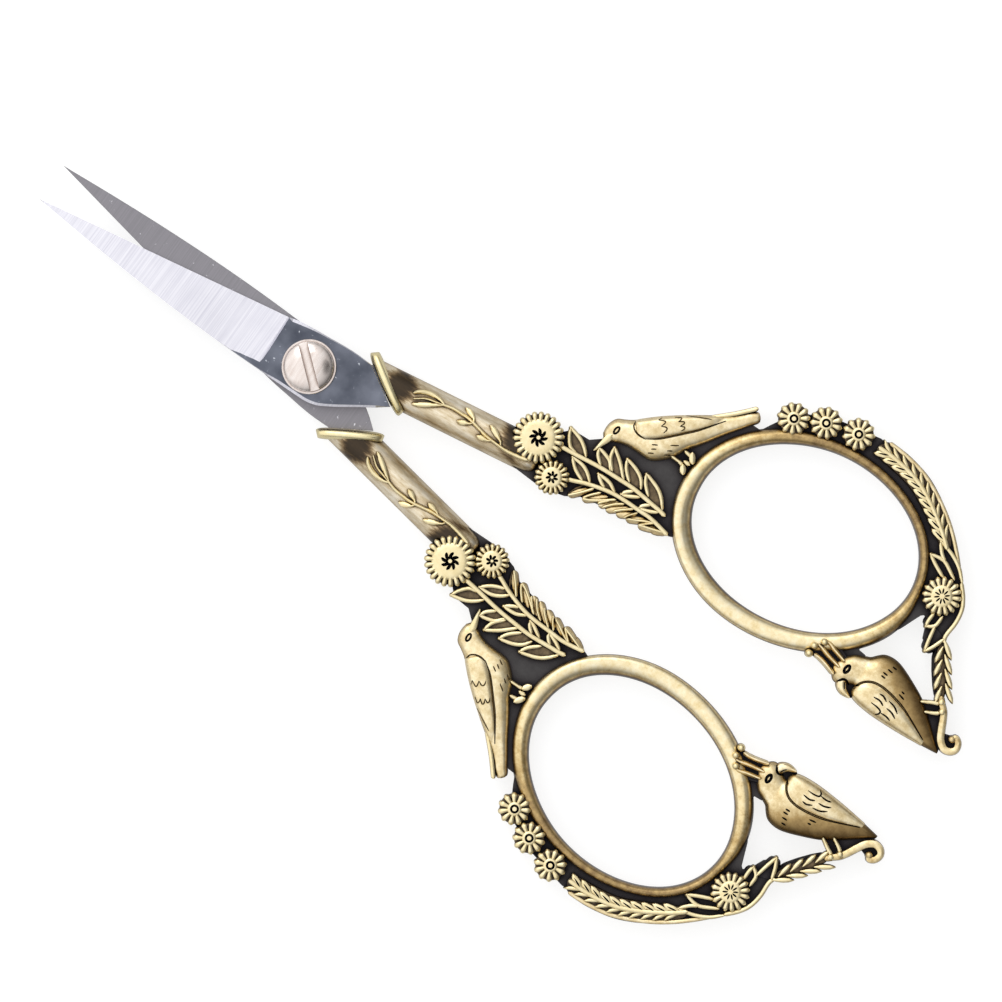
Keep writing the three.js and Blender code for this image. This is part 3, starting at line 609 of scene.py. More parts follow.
panel_low = [
    (-2.2, -1.9), (-0.5, -2.2), (3.5, -2.6), (6.4, -2.0), (8, -1.1),
    (10, -0.8), (12.8, -0.5), (16.4, -0.2), (18.7, 0.2),
]
panel_top = [(5.4, 5.2), (3.2, 5.2), (-0.5, 2), (-2.2, 1.9)]
under_bird = [(3.6, 1.2), (-1, 0.8), (-5, -0.4), (-8.5, -1.4), (-12, 0.6), (-13.4, 0.4)]
plate("panel_web", [
    *(shank_end + p for p in panel_low), *(on_ring(a, -1.7) for a in (-146, -165, 180, 165, 150, 138, 128)),
    *(bird_a(*p) for p in under_bird), *(shank_end + p for p in panel_top),
], WEB_HEIGHT)
print("panel leaves:", len(panel_leaves), "fringe:", len(fringe))

# %% [markdown]
# A flower is one petal repeated round a centre, which is what Geometry Nodes are for. The tree makes as
# many points as there are petals, puts a petal on each, turns it by its share of the circle and realizes
# the copies. The same tree cuts the pinwheel in the middle of a large flower, with a groove in place of the
# petal.

# %% A ring of petals
def open_tree(name, sockets):
    """An empty Geometry Nodes tree, and the sockets that hand its inputs on."""
    tree = bpy.data.node_groups.new(name, "GeometryNodeTree")
    for label, kind in sockets:
        tree.interface.new_socket(label, in_out="INPUT", socket_type="NodeSocket" + kind)
    tree.interface.new_socket("Made", in_out="OUTPUT", socket_type="NodeSocketGeometry")
    return tree, add(tree, "NodeGroupInput").outputs


def end_tree(tree, one, points, rotation, finish):
    """The end of a tree: a copy of one object on every point, made real, with its finish."""
    source = add(tree, "GeometryNodeObjectInfo", {"Object": one})
    copies = add(tree, "GeometryNodeInstanceOnPoints", {
        "Points": points, "Instance": source.outputs["Geometry"], "Rotation": rotation,
    })
    real = add(tree, "GeometryNodeRealizeInstances", {0: copies})
    finished = add(tree, "GeometryNodeSetMaterial", {"Geometry": real, "Material": finish})
    add(tree, "NodeGroupOutput", {0: finished})


def ring_tree():
    tree, given = open_tree("ring_of_petals", (
        ("Petal", "Object"), ("Count", "Int"), ("Start", "Float"), ("Finish", "Material"),
    ))
    points = add(tree, "GeometryNodePoints", {"Count": given["Count"]})
    index = add(tree, "GeometryNodeInputIndex")
    step = add(tree, "ShaderNodeMath", {0: math.tau, 1: given["Count"]}, operation="DIVIDE")
    angle = add(tree, "ShaderNodeMath", {
        0: index, 1: step, 2: given["Start"],
    }, operation="MULTIPLY_ADD")
    spin = add(tree, "ShaderNodeCombineXYZ", {"Z": angle})
    end_tree(tree, given["Petal"], points, spin, given["Finish"])
    return tree


def evaluated(start):
    """The mesh of an object with its modifiers. The object itself is used up."""
    graph = bpy.context.evaluated_depsgraph_get()
    mesh = bpy.data.meshes.new_from_object(start.evaluated_get(graph))
    bpy.data.objects.remove(start)
    return mesh


def run_tree(tree, start, values):
    """The mesh that a tree gives on a starting object. Inputs go in by the socket's identifier."""
    bpy.context.scene.collection.objects.link(start)
    modifier = start.modifiers.new("nodes", "NODES")
    modifier.node_group = tree
    for item in tree.interface.items_tree:
        if item.in_out == "INPUT" and item.name in values:
            modifier[item.identifier] = values[item.name]
    return evaluated(start)


def loose_bodies(name, mesh, at, finish):
    """Each closed shell of a mesh as a body of its own, moved to its place in plan."""
    work = bmesh.new()
    work.from_mesh(mesh)
    seen = set()
    made = []
    for first in work.verts:
        if first in seen:
            continue
        shell, todo = [], [first]
        seen.add(first)
        while todo:
            vertex = todo.pop()
            shell.append(vertex)
            for edge in vertex.link_edges:
                other = edge.other_vert(vertex)
                if other not in seen:
                    seen.add(other)
                    todo.append(other)
        number = {v: i for i, v in enumerate(shell)}
        faces = dict.fromkeys(face for v in shell for face in v.link_faces)
        points = [(v.co.x + at[0], v.co.y + at[1], v.co.z) for v in shell]
        corners = [[number[v] for v in face.verts] for face in faces]
        made.append(body(f"{name}_{len(made)}", points, corners, finish))
    work.free()
    return made


petal_ring = ring_tree()


def ring_of(name, petal, count, at, finish=relief, start=0.0):
    empty = bpy.data.objects.new(name, bpy.data.meshes.new(name))
    values = {"Petal": petal, "Count": count, "Start": start, "Finish": finish}
    return loose_bodies(name, run_tree(petal_ring, empty, values), at, finish)


print("petal tree nodes:", len(petal_ring.nodes))

# %% [markdown]
# Four kinds of flower differ in their lobes and their middles. Each is a hub with round lobes over a black
# base that shows between the lobes. The large and the small flower have a carved pinwheel, the daisies a
# ball in a carved ring, and the aster carved dashes. The carving tools are kept apart, to be taken out of
# the casting at the end, and they leave the black finish behind.

# %% Flowers
DISC_CROWN = 0.04
PETAL = round_section(14, 5.0)


def disc(name, at, radius, height, finish=relief):
    """A low round boss, a little domed."""
    share = np.array([1.0, 1.0, 0.98, 0.94, 0.86, 0.7, 0.45, 0.2])
    level = np.array([0.3, 0.88, 0.93, 0.96, 0.985, 1.0, 1.0, 1.0]) + DISC_CROWN * (1 - share)
    upper = np.column_stack([share * radius, level * height])
    pattern.append(lathe(name, np.vstack([upper[::-1] * (1, -1), upper]), 40, finish, at))


def petal(inner, outer, foot, width, height):
    """A lobe along +X that widens from its foot to a round end, with a soft crown."""
    bend = outer - width / 2
    turn_in = width / 2 * np.sin(np.radians((0, 25, 45, 62, 76, STEEPEST)))
    reach = np.concatenate([np.linspace(inner, bend, 5)[:-1], bend + turn_in])
    share = np.where(reach < bend, foot + (width - foot) * (reach - inner) / (bend - inner), width)
    share *= np.sqrt(1 - np.clip((reach - bend) / (width / 2), 0, 0.995) ** 2)
    line = np.column_stack([reach, np.zeros(len(reach))])
    swell = np.interp(reach, (inner, bend, outer), (0.98, 1, 0.86))
    return sweep("petal", line, share, height * swell, PETAL, relief)


def carve_ring(name, at, count, inner, outer, width, surface, depth, swirl=0.0):
    """Strokes round a centre, straight or curved."""
    t = np.linspace(0, 1, 9)
    reach = inner + (outer - inner) * t
    line = np.column_stack([reach * np.cos(swirl * t), reach * np.sin(swirl * t)])
    share = np.interp(t, [0, 0.35, 0.75, 1], [0.45, 1, 0.95, 0.4])
    for tool in carve(name, line, width * share, surface, depth):
        cuts.extend(ring_of(name, tool, count, at, ground))


def flower(name, at, radius, lobes, height, hub, gap, foot, start=0.0):
    """A hub of a share of the radius, with round lobes out to the rim and a gap between them there."""
    width = math.tau * radius * 0.88 / lobes - gap
    one = petal(radius * hub * 0.6, radius, width * foot, width, height)
    pattern.extend(ring_of(f"{name}_lobe", one, lobes, at, start=start))
    disc(f"{name}_hub", at, radius * hub, height)
    disc(f"{name}_base", at, radius * 0.9, height * 0.8, leaf_brass)


def circle(at, radius):
    turn = np.linspace(0, -math.tau, 36, endpoint=False)
    return np.column_stack([at[0] + radius * np.cos(turn), at[1] + radius * np.sin(turn)])


LARGE_AT = (27.4, 7.05)
SMALL_AT = (31.2, 3.9)
ASTER_AT = (77.67, 16.03)
flower("large", LARGE_AT, 3.1, 22, 2.4, 0.72, 0.1, 0.6)
carve_ring("pinwheel", LARGE_AT, 8, 0.22, 1.1, 0.4, 2.46, 0.7, swirl=0.5)
flower("small", SMALL_AT, 2.1, 17, 2.2, 0.62, 0.09, 0.6)
carve_ring("star", SMALL_AT, 7, 0.16, 0.75, 0.32, 2.26, 0.6, swirl=0.2)
for i, at in enumerate(((51.86, 24.71), (55.38, 26.26), (59.34, 27.14))):
    flower(f"daisy_{i}", at, 1.98, 11, 2.1, 0.45, 0.24, 0.45, start=0.2 * i)
    cuts += carve(f"daisy_{i}_ring", circle(at, 0.4), 0.28, 2.18, 0.6, closed=True)
flower("aster", ASTER_AT, 2.36, 16, 2.1, 0.58, 0.15, 0.55)
carve_ring("aster_dash", ASTER_AT, 10, 0.3, 0.95, 0.22, 2.18, 0.5)
print("bodies:", len(pattern), "cuts:", len(cuts))

# %% [markdown]
# A bird is a smooth body with lines carved into it: the edge of the wing, the scallops of its feathers, the
# eye. Rows give the upper and lower edge of the body along its length, and the wing is a second body that
# stands a little higher. The same rows tell how high the surface is at any place, so the carving tools can
# follow it.

# %% Birds
BODY_HEIGHT = 2.15
WING_HEIGHT = 2.36
FULLNESS = {"bird_a_body": 3.2, "bird_a_wing": 4.2, "bird_b_body": 2.8, "bird_b_wing": 3.4}
NARROWEST = 0.02
THINNING = 0.3  # how fast a bird grows thinner where it grows narrower
FINE_LINE = 0.17
LEG_HEIGHT = 1.65
TOE_HEIGHT = 1.8
FOOT_HEIGHT = 1.9
PERCHED_LEG_HEIGHT = 1.7
PERCHED_FOOT_HEIGHT = 2.0
BEAK_HEIGHT = 1.95


def bird_form(name, rows, place, height, finish=bird_brass):
    """A rounded body from its rows. Returns a function for the height of its surface at points in plan."""
    dense = smooth_line(rows, 76)
    widest = (dense[:, 1] - dense[:, 2]).max()
    fullness = FULLNESS[name]
    form = round_section(50, fullness)
    rings = []
    for x, top, low in dense:
        half = max((top - low) / 2, NARROWEST)
        plan = np.array([place(x, (top + low) / 2 + half * a) for a in form[:, 0]])
        rings.append(np.column_stack([plan, form[:, 1] * height * (2 * half / widest) ** THINNING]))
    pattern.append(skin(name, rings, finish))
    origin = place(0, 0)
    frame_x, frame_y = place(1, 0) - origin, place(0, 1) - origin

    def level(points):
        off = np.asarray(points) - origin
        x, y = off @ frame_x, off @ frame_y
        top, low = (np.interp(x, dense[:, 0], dense[:, k]) for k in (1, 2))
        half = np.maximum((top - low) / 2, NARROWEST)
        share = np.clip(np.abs(y - (top + low) / 2) / half, 0, 1)
        inside = (x > dense[0, 0]) & (x < dense[-1, 0])
        return inside * height * (2 * half / widest) ** THINNING * (1 - share**fullness) ** (1 / fullness)

    return level


def stroke(name, points, width, surfaces, depth=0.4, finish=relief):
    """A carved line with fine ends, as deep below the higher of two surfaces."""
    line = smooth_line(points, max(6, 6 * (len(points) - 1)))
    t = np.linspace(0, 1, len(line))
    level = np.max([surface(line) for surface in surfaces], axis=0)
    share = np.interp(t, [0, 0.2, 0.75, 1], [0.35, 0.9, 1, 0.45])
    cuts.extend(carve(name, line, width * share, level, depth, finish=finish))


def almond(at, length, width, tilt):
    turn = np.linspace(0, -math.tau, 28, endpoint=False)
    up = width / 2 * np.sin(turn) * np.abs(np.sin(turn)) ** 0.25
    return np.asarray(at) + turned(np.column_stack([length / 2 * np.cos(turn), up]), math.radians(tilt))


over_a = [
    bird_form("bird_a_body", [
        (-13.75, 1.1, 0.45), (-13.35, 1.75, 0.1), (-12.8, 2.3, -0.1), (-12, 2.65, -0.3), (-11, 2.5, -0.7),
        (-10, 2.4, -1.4), (-8.5, 2.5, -2.5), (-7, 2.6, -2.6), (-5.5, 2.6, -2.3), (-4, 2.6, -1.6),
        (-2, 2.5, -1.0), (0.6, 2.3, -0.1), (2.5, 2.35, 0.45), (3.6, 2.5, 0.8), (4.4, 2.5, 1.0),
        (4.75, 2.35, 1.2), (4.88, 2.0, 1.5),
    ], bird_a, BODY_HEIGHT),
    bird_form("bird_a_wing", [
        (-10.0, 2.2, 1.3), (-9.7, 2.4, 0.3), (-9.0, 2.5, -0.12), (-7.4, 2.62, -0.22), (-6.1, 2.65, -0.1),
        (-4.3, 2.62, 0.2), (-2.3, 2.5, 0.56), (-0.8, 2.35, 0.98), (0.9, 2.1, 1.6),
    ], bird_a, WING_HEIGHT),
]
stroke("wing_front_a", [
    (36.15, 14.7), (36.25, 14.1), (36.75, 13.65), (37.45, 13.45), (38.3, 13.5),
], 0.2, over_a[:1], 0.28)
stroke("wing_edge_a", [
    (38.0, 13.4), (39.4, 14.25), (40.4, 15.1), (41.75, 16.4), (43.2, 17.85), (45.2, 20.3),
], 0.26, over_a[:1], 0.32)
for i, points in enumerate((
    [(37.75, 16.3), (38.35, 16.75), (38.55, 16.6), (38.35, 16.2)],
    [(38.35, 16.2), (39.05, 16.5), (39.2, 16.3), (39.0, 15.75)],
    [(39.0, 15.75), (39.6, 15.95), (39.8, 15.7), (39.65, 15.2)],
    [(39.85, 17.5), (40.45, 17.85), (40.6, 17.65), (40.45, 17.25)],
    [(40.45, 17.25), (41.0, 17.6), (41.15, 17.4), (40.9, 16.9)],
    [(40.9, 16.9), (41.4, 17.1), (41.5, 16.85), (41.3, 16.5)],
    [(40.9, 18.4), (42.4, 19.05), (43.65, 19.55)],
    [(39.2, 13.35), (39.85, 13.65)], [(39.4, 12.85), (39.95, 13.15)], [(39.3, 12.25), (39.95, 12.55)],
    [(41.1, 14.4), (42.0, 14.9)], [(41.1, 13.65), (41.7, 13.95)], [(41.1, 13.05), (41.75, 13.4)],
)):
    stroke(f"feather_a_{i}", points, FINE_LINE, over_a, 0.2, bird_brass)
eye_a = almond((34.8, 12.6), 0.95, 0.46, 82)
cuts += carve("eye_a", eye_a, 0.24, over_a[0](eye_a), 0.32, closed=True, finish=leaf_brass)
for name, points, widths, height in (
    ("beak", [(34.6, 11.9), (34.35, 11.0), (34.05, 10.1), (33.72, 9.15)],
     (1.0, 1.05, 0.75, 0.5, 0.28), 1.75),
    ("tail", [bird_a(-1, 2.1), bird_a(2, 2.4), bird_a(4.7, 2.85)], (0.6, 0.6), 1.5),
    ("leg_0", [(41.9, 13.4), (43.0, 13.3), (43.7, 13.15)], (0.45, 0.45, 0.55), LEG_HEIGHT),
    ("leg_1", [(42.9, 14.75), (43.95, 14.55)], (0.45, 0.55), LEG_HEIGHT),
    ("foot_0", [(43.5, 13.3), (43.9, 12.7), (44.15, 12.2)], (0.6, 0.95, 0.7), FOOT_HEIGHT),
    ("foot_1", [(43.4, 13.7), (44.3, 13.6)], (0.5, 0.7), TOE_HEIGHT),
    ("foot_2", [(43.75, 15.1), (44.15, 14.4), (44.5, 13.85)], (0.6, 0.95, 0.7), FOOT_HEIGHT),
):
    bar(f"bird_a_{name}", points, widths, height)


def bird_b(x, y):
    """A place on the crested bird, measured from its head."""
    return np.array((72.3 + x, 3.2 + y))


over_b = [
    bird_form("bird_b_body", [
        (-1.35, -0.4, -1.0), (-1.0, 0.25, -1.65), (-0.4, 1.05, -2.3), (0.3, 1.7, -2.4), (0.9, 1.95, -2.1),
        (1.5, 2.15, -1.85), (2.1, 2.4, -1.7), (2.6, 2.9, -2.4), (3.2, 3.4, -3.0), (3.9, 3.62, -3.25),
        (4.9, 3.62, -3.4), (6, 3.3, -3.5), (7.7, 2.5, -3.55), (9.7, 1.4, -3.55), (11.5, 0, -3.5),
        (13.2, -1.6, -3.4), (14.6, -2.9, -3.3),
    ], bird_b, BODY_HEIGHT, crested_brass),
    bird_form("bird_b_wing", [
        (2.1, -1.7, -2.3), (2.6, -0.6, -2.9), (3.4, 0.02, -3.2), (4.5, 0.25, -3.4), (6.0, 0.1, -3.55),
        (8.0, -0.45, -3.6), (9.7, -1.2, -3.6), (12.5, -2.65, -3.5),
    ], bird_b, WING_HEIGHT),
]
stroke("wing_edge_b", [
    (74.5, 0.9), (74.55, 1.5), (74.85, 2.3), (75.7, 3.0), (76.8, 3.25),
    (78.3, 3.1), (80.3, 2.55), (82, 1.8), (84.6, 0.45),
], 0.32, over_b[:1], 0.42)
stroke("cere_b", [
    (72.35, 1.0), (72.85, 1.62), (73.35, 1.66), (73.85, 1.35),
], 0.24, over_b[:1], finish=ground)
for i, points in enumerate((
    [(77.4, 2.4), (78.0, 2.38), (78.6, 2.0)], [(77.0, 1.72), (77.9, 1.7), (78.5, 1.38)],
    [(77.1, 1.0), (78.0, 0.9), (78.55, 0.68), (78.55, 0.3), (78.2, 0.05)],
    [(78.8, 2.25), (79.7, 2.0), (80.45, 1.45)], [(79.0, 1.38), (79.8, 1.22), (80.5, 0.82)],
    [(78.7, 0.54), (79.5, 0.5), (80.1, 0.3)], [(77.1, 5.95), (77.7, 5.85)], [(76.75, 5.38), (77.45, 5.28)],
    [(76.45, 4.8), (77.1, 4.7)], [(76.45, 4.36), (77.05, 4.26)], [(79.5, 4.0), (79.95, 3.88)],
    [(79.4, 3.55), (80.25, 3.3)],
)):
    stroke(f"feather_b_{i}", points, FINE_LINE * 1.3, over_b, 0.3, leaf_brass)
eye_b = almond((72.64, 2.86), 1.0, 0.5, 84)
cuts += carve("eye_b", eye_b, 0.34, over_b[0](eye_b), 0.4, closed=True)
bar("bird_b_beak", [
    (72.85, 1.6), (73.05, 0.95), (73.5, 0.5), (74.1, 0.28), (74.7, 0.15),
], (1.3, 1.4, 1.15, 0.8, 0.3), BEAK_HEIGHT, bird_brass, ROUND_BAR)
slit = smooth_line([(73.25, 1.45), (73.36, 1.08), (73.62, 0.72)], 8)
cuts += carve("beak_slit", slit, 0.18, BEAK_HEIGHT, 0.4)
for i, (prong, tip) in enumerate((
    ([(71.9, 3.5), (70.28, 4.0), (69.52, 4.32), (69.05, 4.42)], (68.73, 4.2)),
    ([(71.7, 2.6), (69.81, 3.1), (68.77, 3.48), (68.25, 3.55)], (67.92, 3.22)),
    ([(71.6, 1.5), (70.3, 2.0), (69.2, 2.3), (68.4, 2.36)], (67.86, 2.14)),
)):
    bar(f"crest_{i}", prong, (0.6, 0.66, 0.7, 0.62), 2.15, bird_brass, ROUND_BAR)
    bead(f"crest_{i}_tip", tip, 0.52, 2.35)
plate("crest_web", [
    (67.7, 2.0), (68.9, 2.15), (70.0, 1.95), (71.0, 1.55),
    (72.0, 1.3), (72.2, 3.9), (70.5, 4.7), (68.4, 4.5),
], 1.3)
legs = ([(82.0, 4.15), (83.26, 4.77), (84.1, 5.1)], [(83.0, 3.35), (84.11, 3.81), (84.75, 4.2)])
for i, leg in enumerate(legs):
    bar(f"bird_b_leg_{i}", leg, (0.46, 0.5, 0.6), PERCHED_LEG_HEIGHT)
for i, at in enumerate(((84.2, 5.35), (84.85, 4.4))):
    bead(f"bird_b_foot_{i}", at, 0.5, PERCHED_FOOT_HEIGHT)
plate("head_web", [
    on_ring(-58, -1), on_ring(-41, -1), on_ring(-45, -0.1), (73.7, 5.4), (73.6, 4.2), (71.3, 3.4),
], WEB_HEIGHT)
plate("throat_web", [
    (73.2, 1.7), (74.8, 1.9), (75.4, 0.9), (75.0, 0.35), (74.6, 0), (74.1, 0.1), (73.5, 0.6),
], WEB_HEIGHT)
plate("tail_web", [(81.7, 4.2), (84.4, 5.1), (85.3, 3.7), (86.6, 1.3), (86.9, 0.2), (83.3, 2.2)], WEB_HEIGHT)
print("bodies:", len(pattern), "cuts:", len(cuts))

# %% [markdown]
# The border carries a frond: round leaves on the side of the finger, fine strokes on the other, and a rim
# along the edge. The twig has another row of grain-shaped leaves on both sides. Leaves along a line are a
# second job for Geometry Nodes: the line is resampled to one point per leaf, and each leaf is aligned to
# the line there and leans out by an angle.

# %% Leaves along a line
def spray_tree():
    tree, given = open_tree("leaves_along_a_line", (
        ("Line", "Geometry"), ("Leaf", "Object"), ("Count", "Int"), ("Lean", "Float"),
        ("Finish", "Material"),
    ))
    curve = add(tree, "GeometryNodeMeshToCurve", {0: given["Line"]})
    even = add(tree, "GeometryNodeResampleCurve", {"Curve": curve, "Count": given["Count"]})
    way = add(tree, "GeometryNodeInputTangent")
    aligned = add(tree, "FunctionNodeAlignRotationToVector", {"Vector": way}, axis="X", pivot_axis="Z")
    lean = add(tree, "ShaderNodeCombineXYZ", {"Z": given["Lean"]})
    leaning = add(tree, "FunctionNodeRotateRotation", {0: aligned, 1: lean}, rotation_space="LOCAL")
    end_tree(tree, given["Leaf"], even, leaning, given["Finish"])
    return tree


leaf_spray = spray_tree()


def grain(length, width, height, bend=0.0):
    """A plump leaf along +X, like a grain of wheat."""
    line = smooth_line([(0, 0), (length * 0.5, bend), (length, 0)], 12)
    t = np.linspace(0, 1, 13)
    share = np.interp(t, [0, 0.2, 0.5, 0.75, 0.92, 1], [0.4, 0.75, 1, 0.85, 0.45, 0.12])
    swell = np.interp(t, [0, 0.4, 0.9, 1], [0.93, 1, 0.97, 0.8])
    return sweep("grain", line, width * share, height * swell, BAR, relief)


def spray(name, line, one_leaf, count, lean, kept=pattern, finish=relief):
    points = smooth_line(line, 40)
    mesh = bpy.data.meshes.new(name)
    mesh.from_pydata([(x, y, 0) for x, y in points], [(i, i + 1) for i in range(len(points) - 1)], [])
    values = {"Leaf": one_leaf, "Count": count, "Lean": math.radians(lean), "Finish": finish}
    made = loose_bodies(name, run_tree(leaf_spray, bpy.data.objects.new(name, mesh), values), (0, 0), finish)
    kept.extend(made)
    return len(made)


frond_line = [
    (75.3, 21.0), (74.84, 21.53), (73.62, 22.61), (72.12, 23.75), (70.58, 24.8),
    (68.59, 25.88), (66.47, 26.55), (64.31, 26.95), (62.1, 27.1),
]
bar("frond_stem", frond_line, 0.66, 1.8)
bar("frond_floor", frond_line, (1.6, 2.6, 2.9, 2.9, 2.9, 2.6), 1.2, leaf_brass)
made = spray("frond_in", frond_line[1:-1], grain(2.5, 1.0, 1.7, -0.1), 10, 27)
made += spray("frond_out", frond_line[1:-1], grain(2.45, 0.62, 1.65, 0.12), 10, -22)
slit_line = np.column_stack([np.linspace(0.7, 1.9, 7), np.full(7, -0.12)])
slit_widths = SLIT_WIDTH * np.array((0.3, 0.8, 1, 1, 0.9, 0.6, 0.3))
for tool in carve("frond_slit", slit_line, slit_widths, 1.7, 0.5):
    spray("frond_slit", frond_line[1:-1], tool, 10, 27, kept=cuts, finish=ground)
bar("frond_rim", [
    (77.7, 19.9), (76.5, 21.3), (75.06, 22.8), (73.51, 24.15), (71.83, 25.35),
    (70.32, 26.25), (68.69, 27.05), (67.19, 27.55), (64.99, 28.0), (63.0, 28.2),
], 0.56, 1.4, bird_brass)
print("frond leaves:", made)

# %% Border, twig and curl
border_leaves = [
    ([(76.8, 17.9), (75.15, 18.8), (73.95, 19.55)],
     [(77.95, 18.4), (76.15, 19.55), (75.25, 19.75), (74.0, 19.6)]),
    ([(75.9, 19.7), (75.1, 20.3), (74.2, 21.4)],
     [(78.9, 18.6), (77.7, 19.9), (76.15, 20.85), (74.3, 21.5)]),
    ([(77.95, 13.9), (77.85, 12.75), (77.92, 12.05)], [(79.0, 14.1), (78.85, 12.7), (77.97, 12.03)]),
    ([(78.85, 12.6), (79.05, 11.0), (79.32, 9.5)], [(80.55, 11.9), (80.0, 10.55), (79.37, 9.48)]),
]
for i, (left, right) in enumerate(border_leaves):
    rim_leaf(f"border_leaf_{i}", left, right, WEB_HEIGHT + 0.1, ground, 0.3 if i > 1 else 0)
bar("border_rim", [
    (78.8, 18.6), (79.9, 17.2), (80.54, 15.85), (80.72, 14.2), (80.52, 12.41), (80.7, 11.5),
], 0.6, 1.6)
border_edge = [
    (134, -1.2), (126, -0.5), (119, 0.3), (110, 1), (96, 1.2), (80, 1.5), (62, 1.75), (45, 1.75),
    (30, 1.75), (18, 2.6), (8, 3.55), (-2, 3.95), (-9, 3.95), (-14, 3.85), (-20, 3.35), (-18, 2.2),
    (-13, 1.4), (-10, 0.9), (-9.3, 0.5), (-10.5, 0.2), (-14, -0.05), (-22, -0.35), (-32, -0.6),
]
border_back = [on_ring(a, -1.7) for a in np.linspace(-30, 134, 20)]
plate("border_web", [on_ring(a, o) for a, o in border_edge] + border_back, WEB_HEIGHT)

twig_line = [(80.6, 11.4), (81.3, 9.9), (82.3, 8.3), (83.1, 7.0), (84.0, 5.6)]
twig_under = np.array(twig_line) - (0.12, 0.08)
bar("twig_ground", twig_under, (1.1, 1.75, 1.85, 1.65, 1.2), WEB_HEIGHT - 0.1, ground)
bar("twig_floor", twig_line, (0.6, 1.5, 1.6, 1.4, 0.8), 1.25, leaf_brass)
twig_right = [(80.6, 11.8), (81.65, 10.2), (82.6, 8.7), (83.4, 7.5)]
twig_left = [(80.9, 11.1), (81.75, 9.45), (82.4, 8.25), (83.2, 7.0)]
made = spray("twig_right", twig_right, grain(2.6, 0.7, 1.8), 4, 18)
made += spray("twig_left", twig_left, grain(2.2, 0.66, 1.75), 4, -22)
bar("perch_and_curl", [
    (83.8, 6.0), (84.3, 5.3), (84.95, 4.6), (85.4, 3.75), (85.9, 2.55), (86.45, 1.5), (87.28, 0.85),
    (88.1, 0.95), (88.55, 1.5), (88.4, 2.25), (87.85, 2.65), (87.5, 2.4),
], (0.8, 0.95, 1.05, 1.1, 1.05, 0.95, 0.85), STEM_HEIGHT, ring_brass)
bead("curl_eye", (87.55, 2.3), 0.5, 1.95, ring_brass)
plate("curl_floor", [(86.4, 2.4), (86.6, 1.2), (87.6, 0.9), (88.4, 1.4), (88.4, 2.3), (87.6, 2.7)], 1.0)
print("twig leaves:", made, "bodies in the pattern:", len(pattern))

# %% [markdown]
# In the foundry all of this is one pattern, so here it becomes one closed skin. A Boolean with the manifold
# solver joins a whole collection at once, and a second one cuts the grooves of the flowers and the slot for
# the tang.

# %% One casting
TANG = (12.0, 2.4, 1.2)
TANG_CLEARANCE = 0.15
BLADE_GAP = 0.1


def tang_bar(name, clearance, lead):
    length, width, thick = TANG
    x = np.array((-lead, length + clearance))
    y = np.array((-1, 1)) * (width / 2 + clearance)
    z = BLADE_GAP / 2 + thick / 2 + np.array((-1, 1)) * (thick / 2 + clearance)
    corners = ((y[0], z[0]), (y[1], z[0]), (y[1], z[1]), (y[0], z[1]))
    rings = [[(*(COLLAR_AT + a * shank_way + b * shank_side), c) for b, c in corners] for a in x]
    return skin(name, rings, ground)


def combine(first, others, operation):
    group = bpy.data.collections.new("operands")
    bpy.context.scene.collection.children.link(group)
    for other in others:
        group.objects.link(other)
    bpy.context.scene.collection.objects.link(first)
    modifier = first.modifiers.new("join", "BOOLEAN")
    modifier.operation = operation
    modifier.operand_type = "COLLECTION"
    modifier.collection = group
    modifier.solver = "MANIFOLD"
    modifier.material_mode = "TRANSFER"
    mesh = evaluated(first)
    for done in others:
        bpy.data.objects.remove(done)
    bpy.data.collections.remove(group)
    return mesh


joined = bpy.data.objects.new("joined", combine(pattern[0], pattern[1:], "UNION"))
cuts.append(tang_bar("tang_slot", TANG_CLEARANCE, COLLAR_LENGTH / 2))
casting = combine(joined, cuts, "DIFFERENCE")
drawn = casting.attributes.new("drawn", "FLOAT_VECTOR", "POINT")
points = np.array([v.co for v in casting.vertices]) * (1, 1, 0)
drawn.data.foreach_set("vector", points.ravel())
work = bmesh.new()
work.from_mesh(casting)
triangles = sum(len(face.verts) - 2 for face in work.faces)
open_edges = sum(not edge.is_manifold for edge in work.edges)
work.free()
print("casting:", len(casting.vertices), "points,", triangles, "triangles,", open_edges, "open edges")

# %% [markdown]
# The front half is turned out by half the opening. The rear half is the same half turned over about the X
# axis, which is how such scissors are made: two identical halves, one flipped.

# %% Place the castings
HALF_OPENING = math.radians(4)
MM = 0.001
CASTING_CREASE = 45
lifted = Matrix.Translation((0, 0, MIDDLE))
opened_half = Matrix.Rotation(HALF_OPENING, 4, "Z")
in_metres = Matrix.Scale(MM, 4)
halves = {
    "front": lifted @ opened_half @ in_metres,
    "rear": lifted @ Matrix.Rotation(math.pi, 4, "X") @ opened_half @ in_metres,
}


def placed_piece(name, mesh, place, node, ride_on, crease_angle):
    copy = mesh.copy()
    copy.name = name
    copy.transform(place)
    copy.shade_smooth()
    copy.set_sharp_from_angle(angle=math.radians(crease_angle))
    made = bpy.data.objects.new(name, copy)
    bpy.context.scene.collection.objects.link(made)
    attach(made, ride_on)
    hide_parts(node)
    return made


for half, place in halves.items():
    placed_piece(
        f"{half}_casting", casting, place, f"{half}_handle", f"{half}_half", CASTING_CREASE,
    )
print("castings placed:", len(halves))

# %% [markdown]
# The blade is forged, blackened by heat at the pivot plate, and ground white on its outer face. The wheel
# leaves lines across the blade. The inner face, which shows on the rear blade, is ground flat and dull.

# %% Steel finishes
BRUSH_PITCH = 0.00015  # grinding lines of about 0.03 mm are drawn coarser, so that they show
SMEAR_SIZE = 0.004
SMEAR_SHARE = 0.35
SPECK_SIZE = 0.0005
BRUSH_DEPTH = 0.00002
SCALE_DEPTH = 0.00003


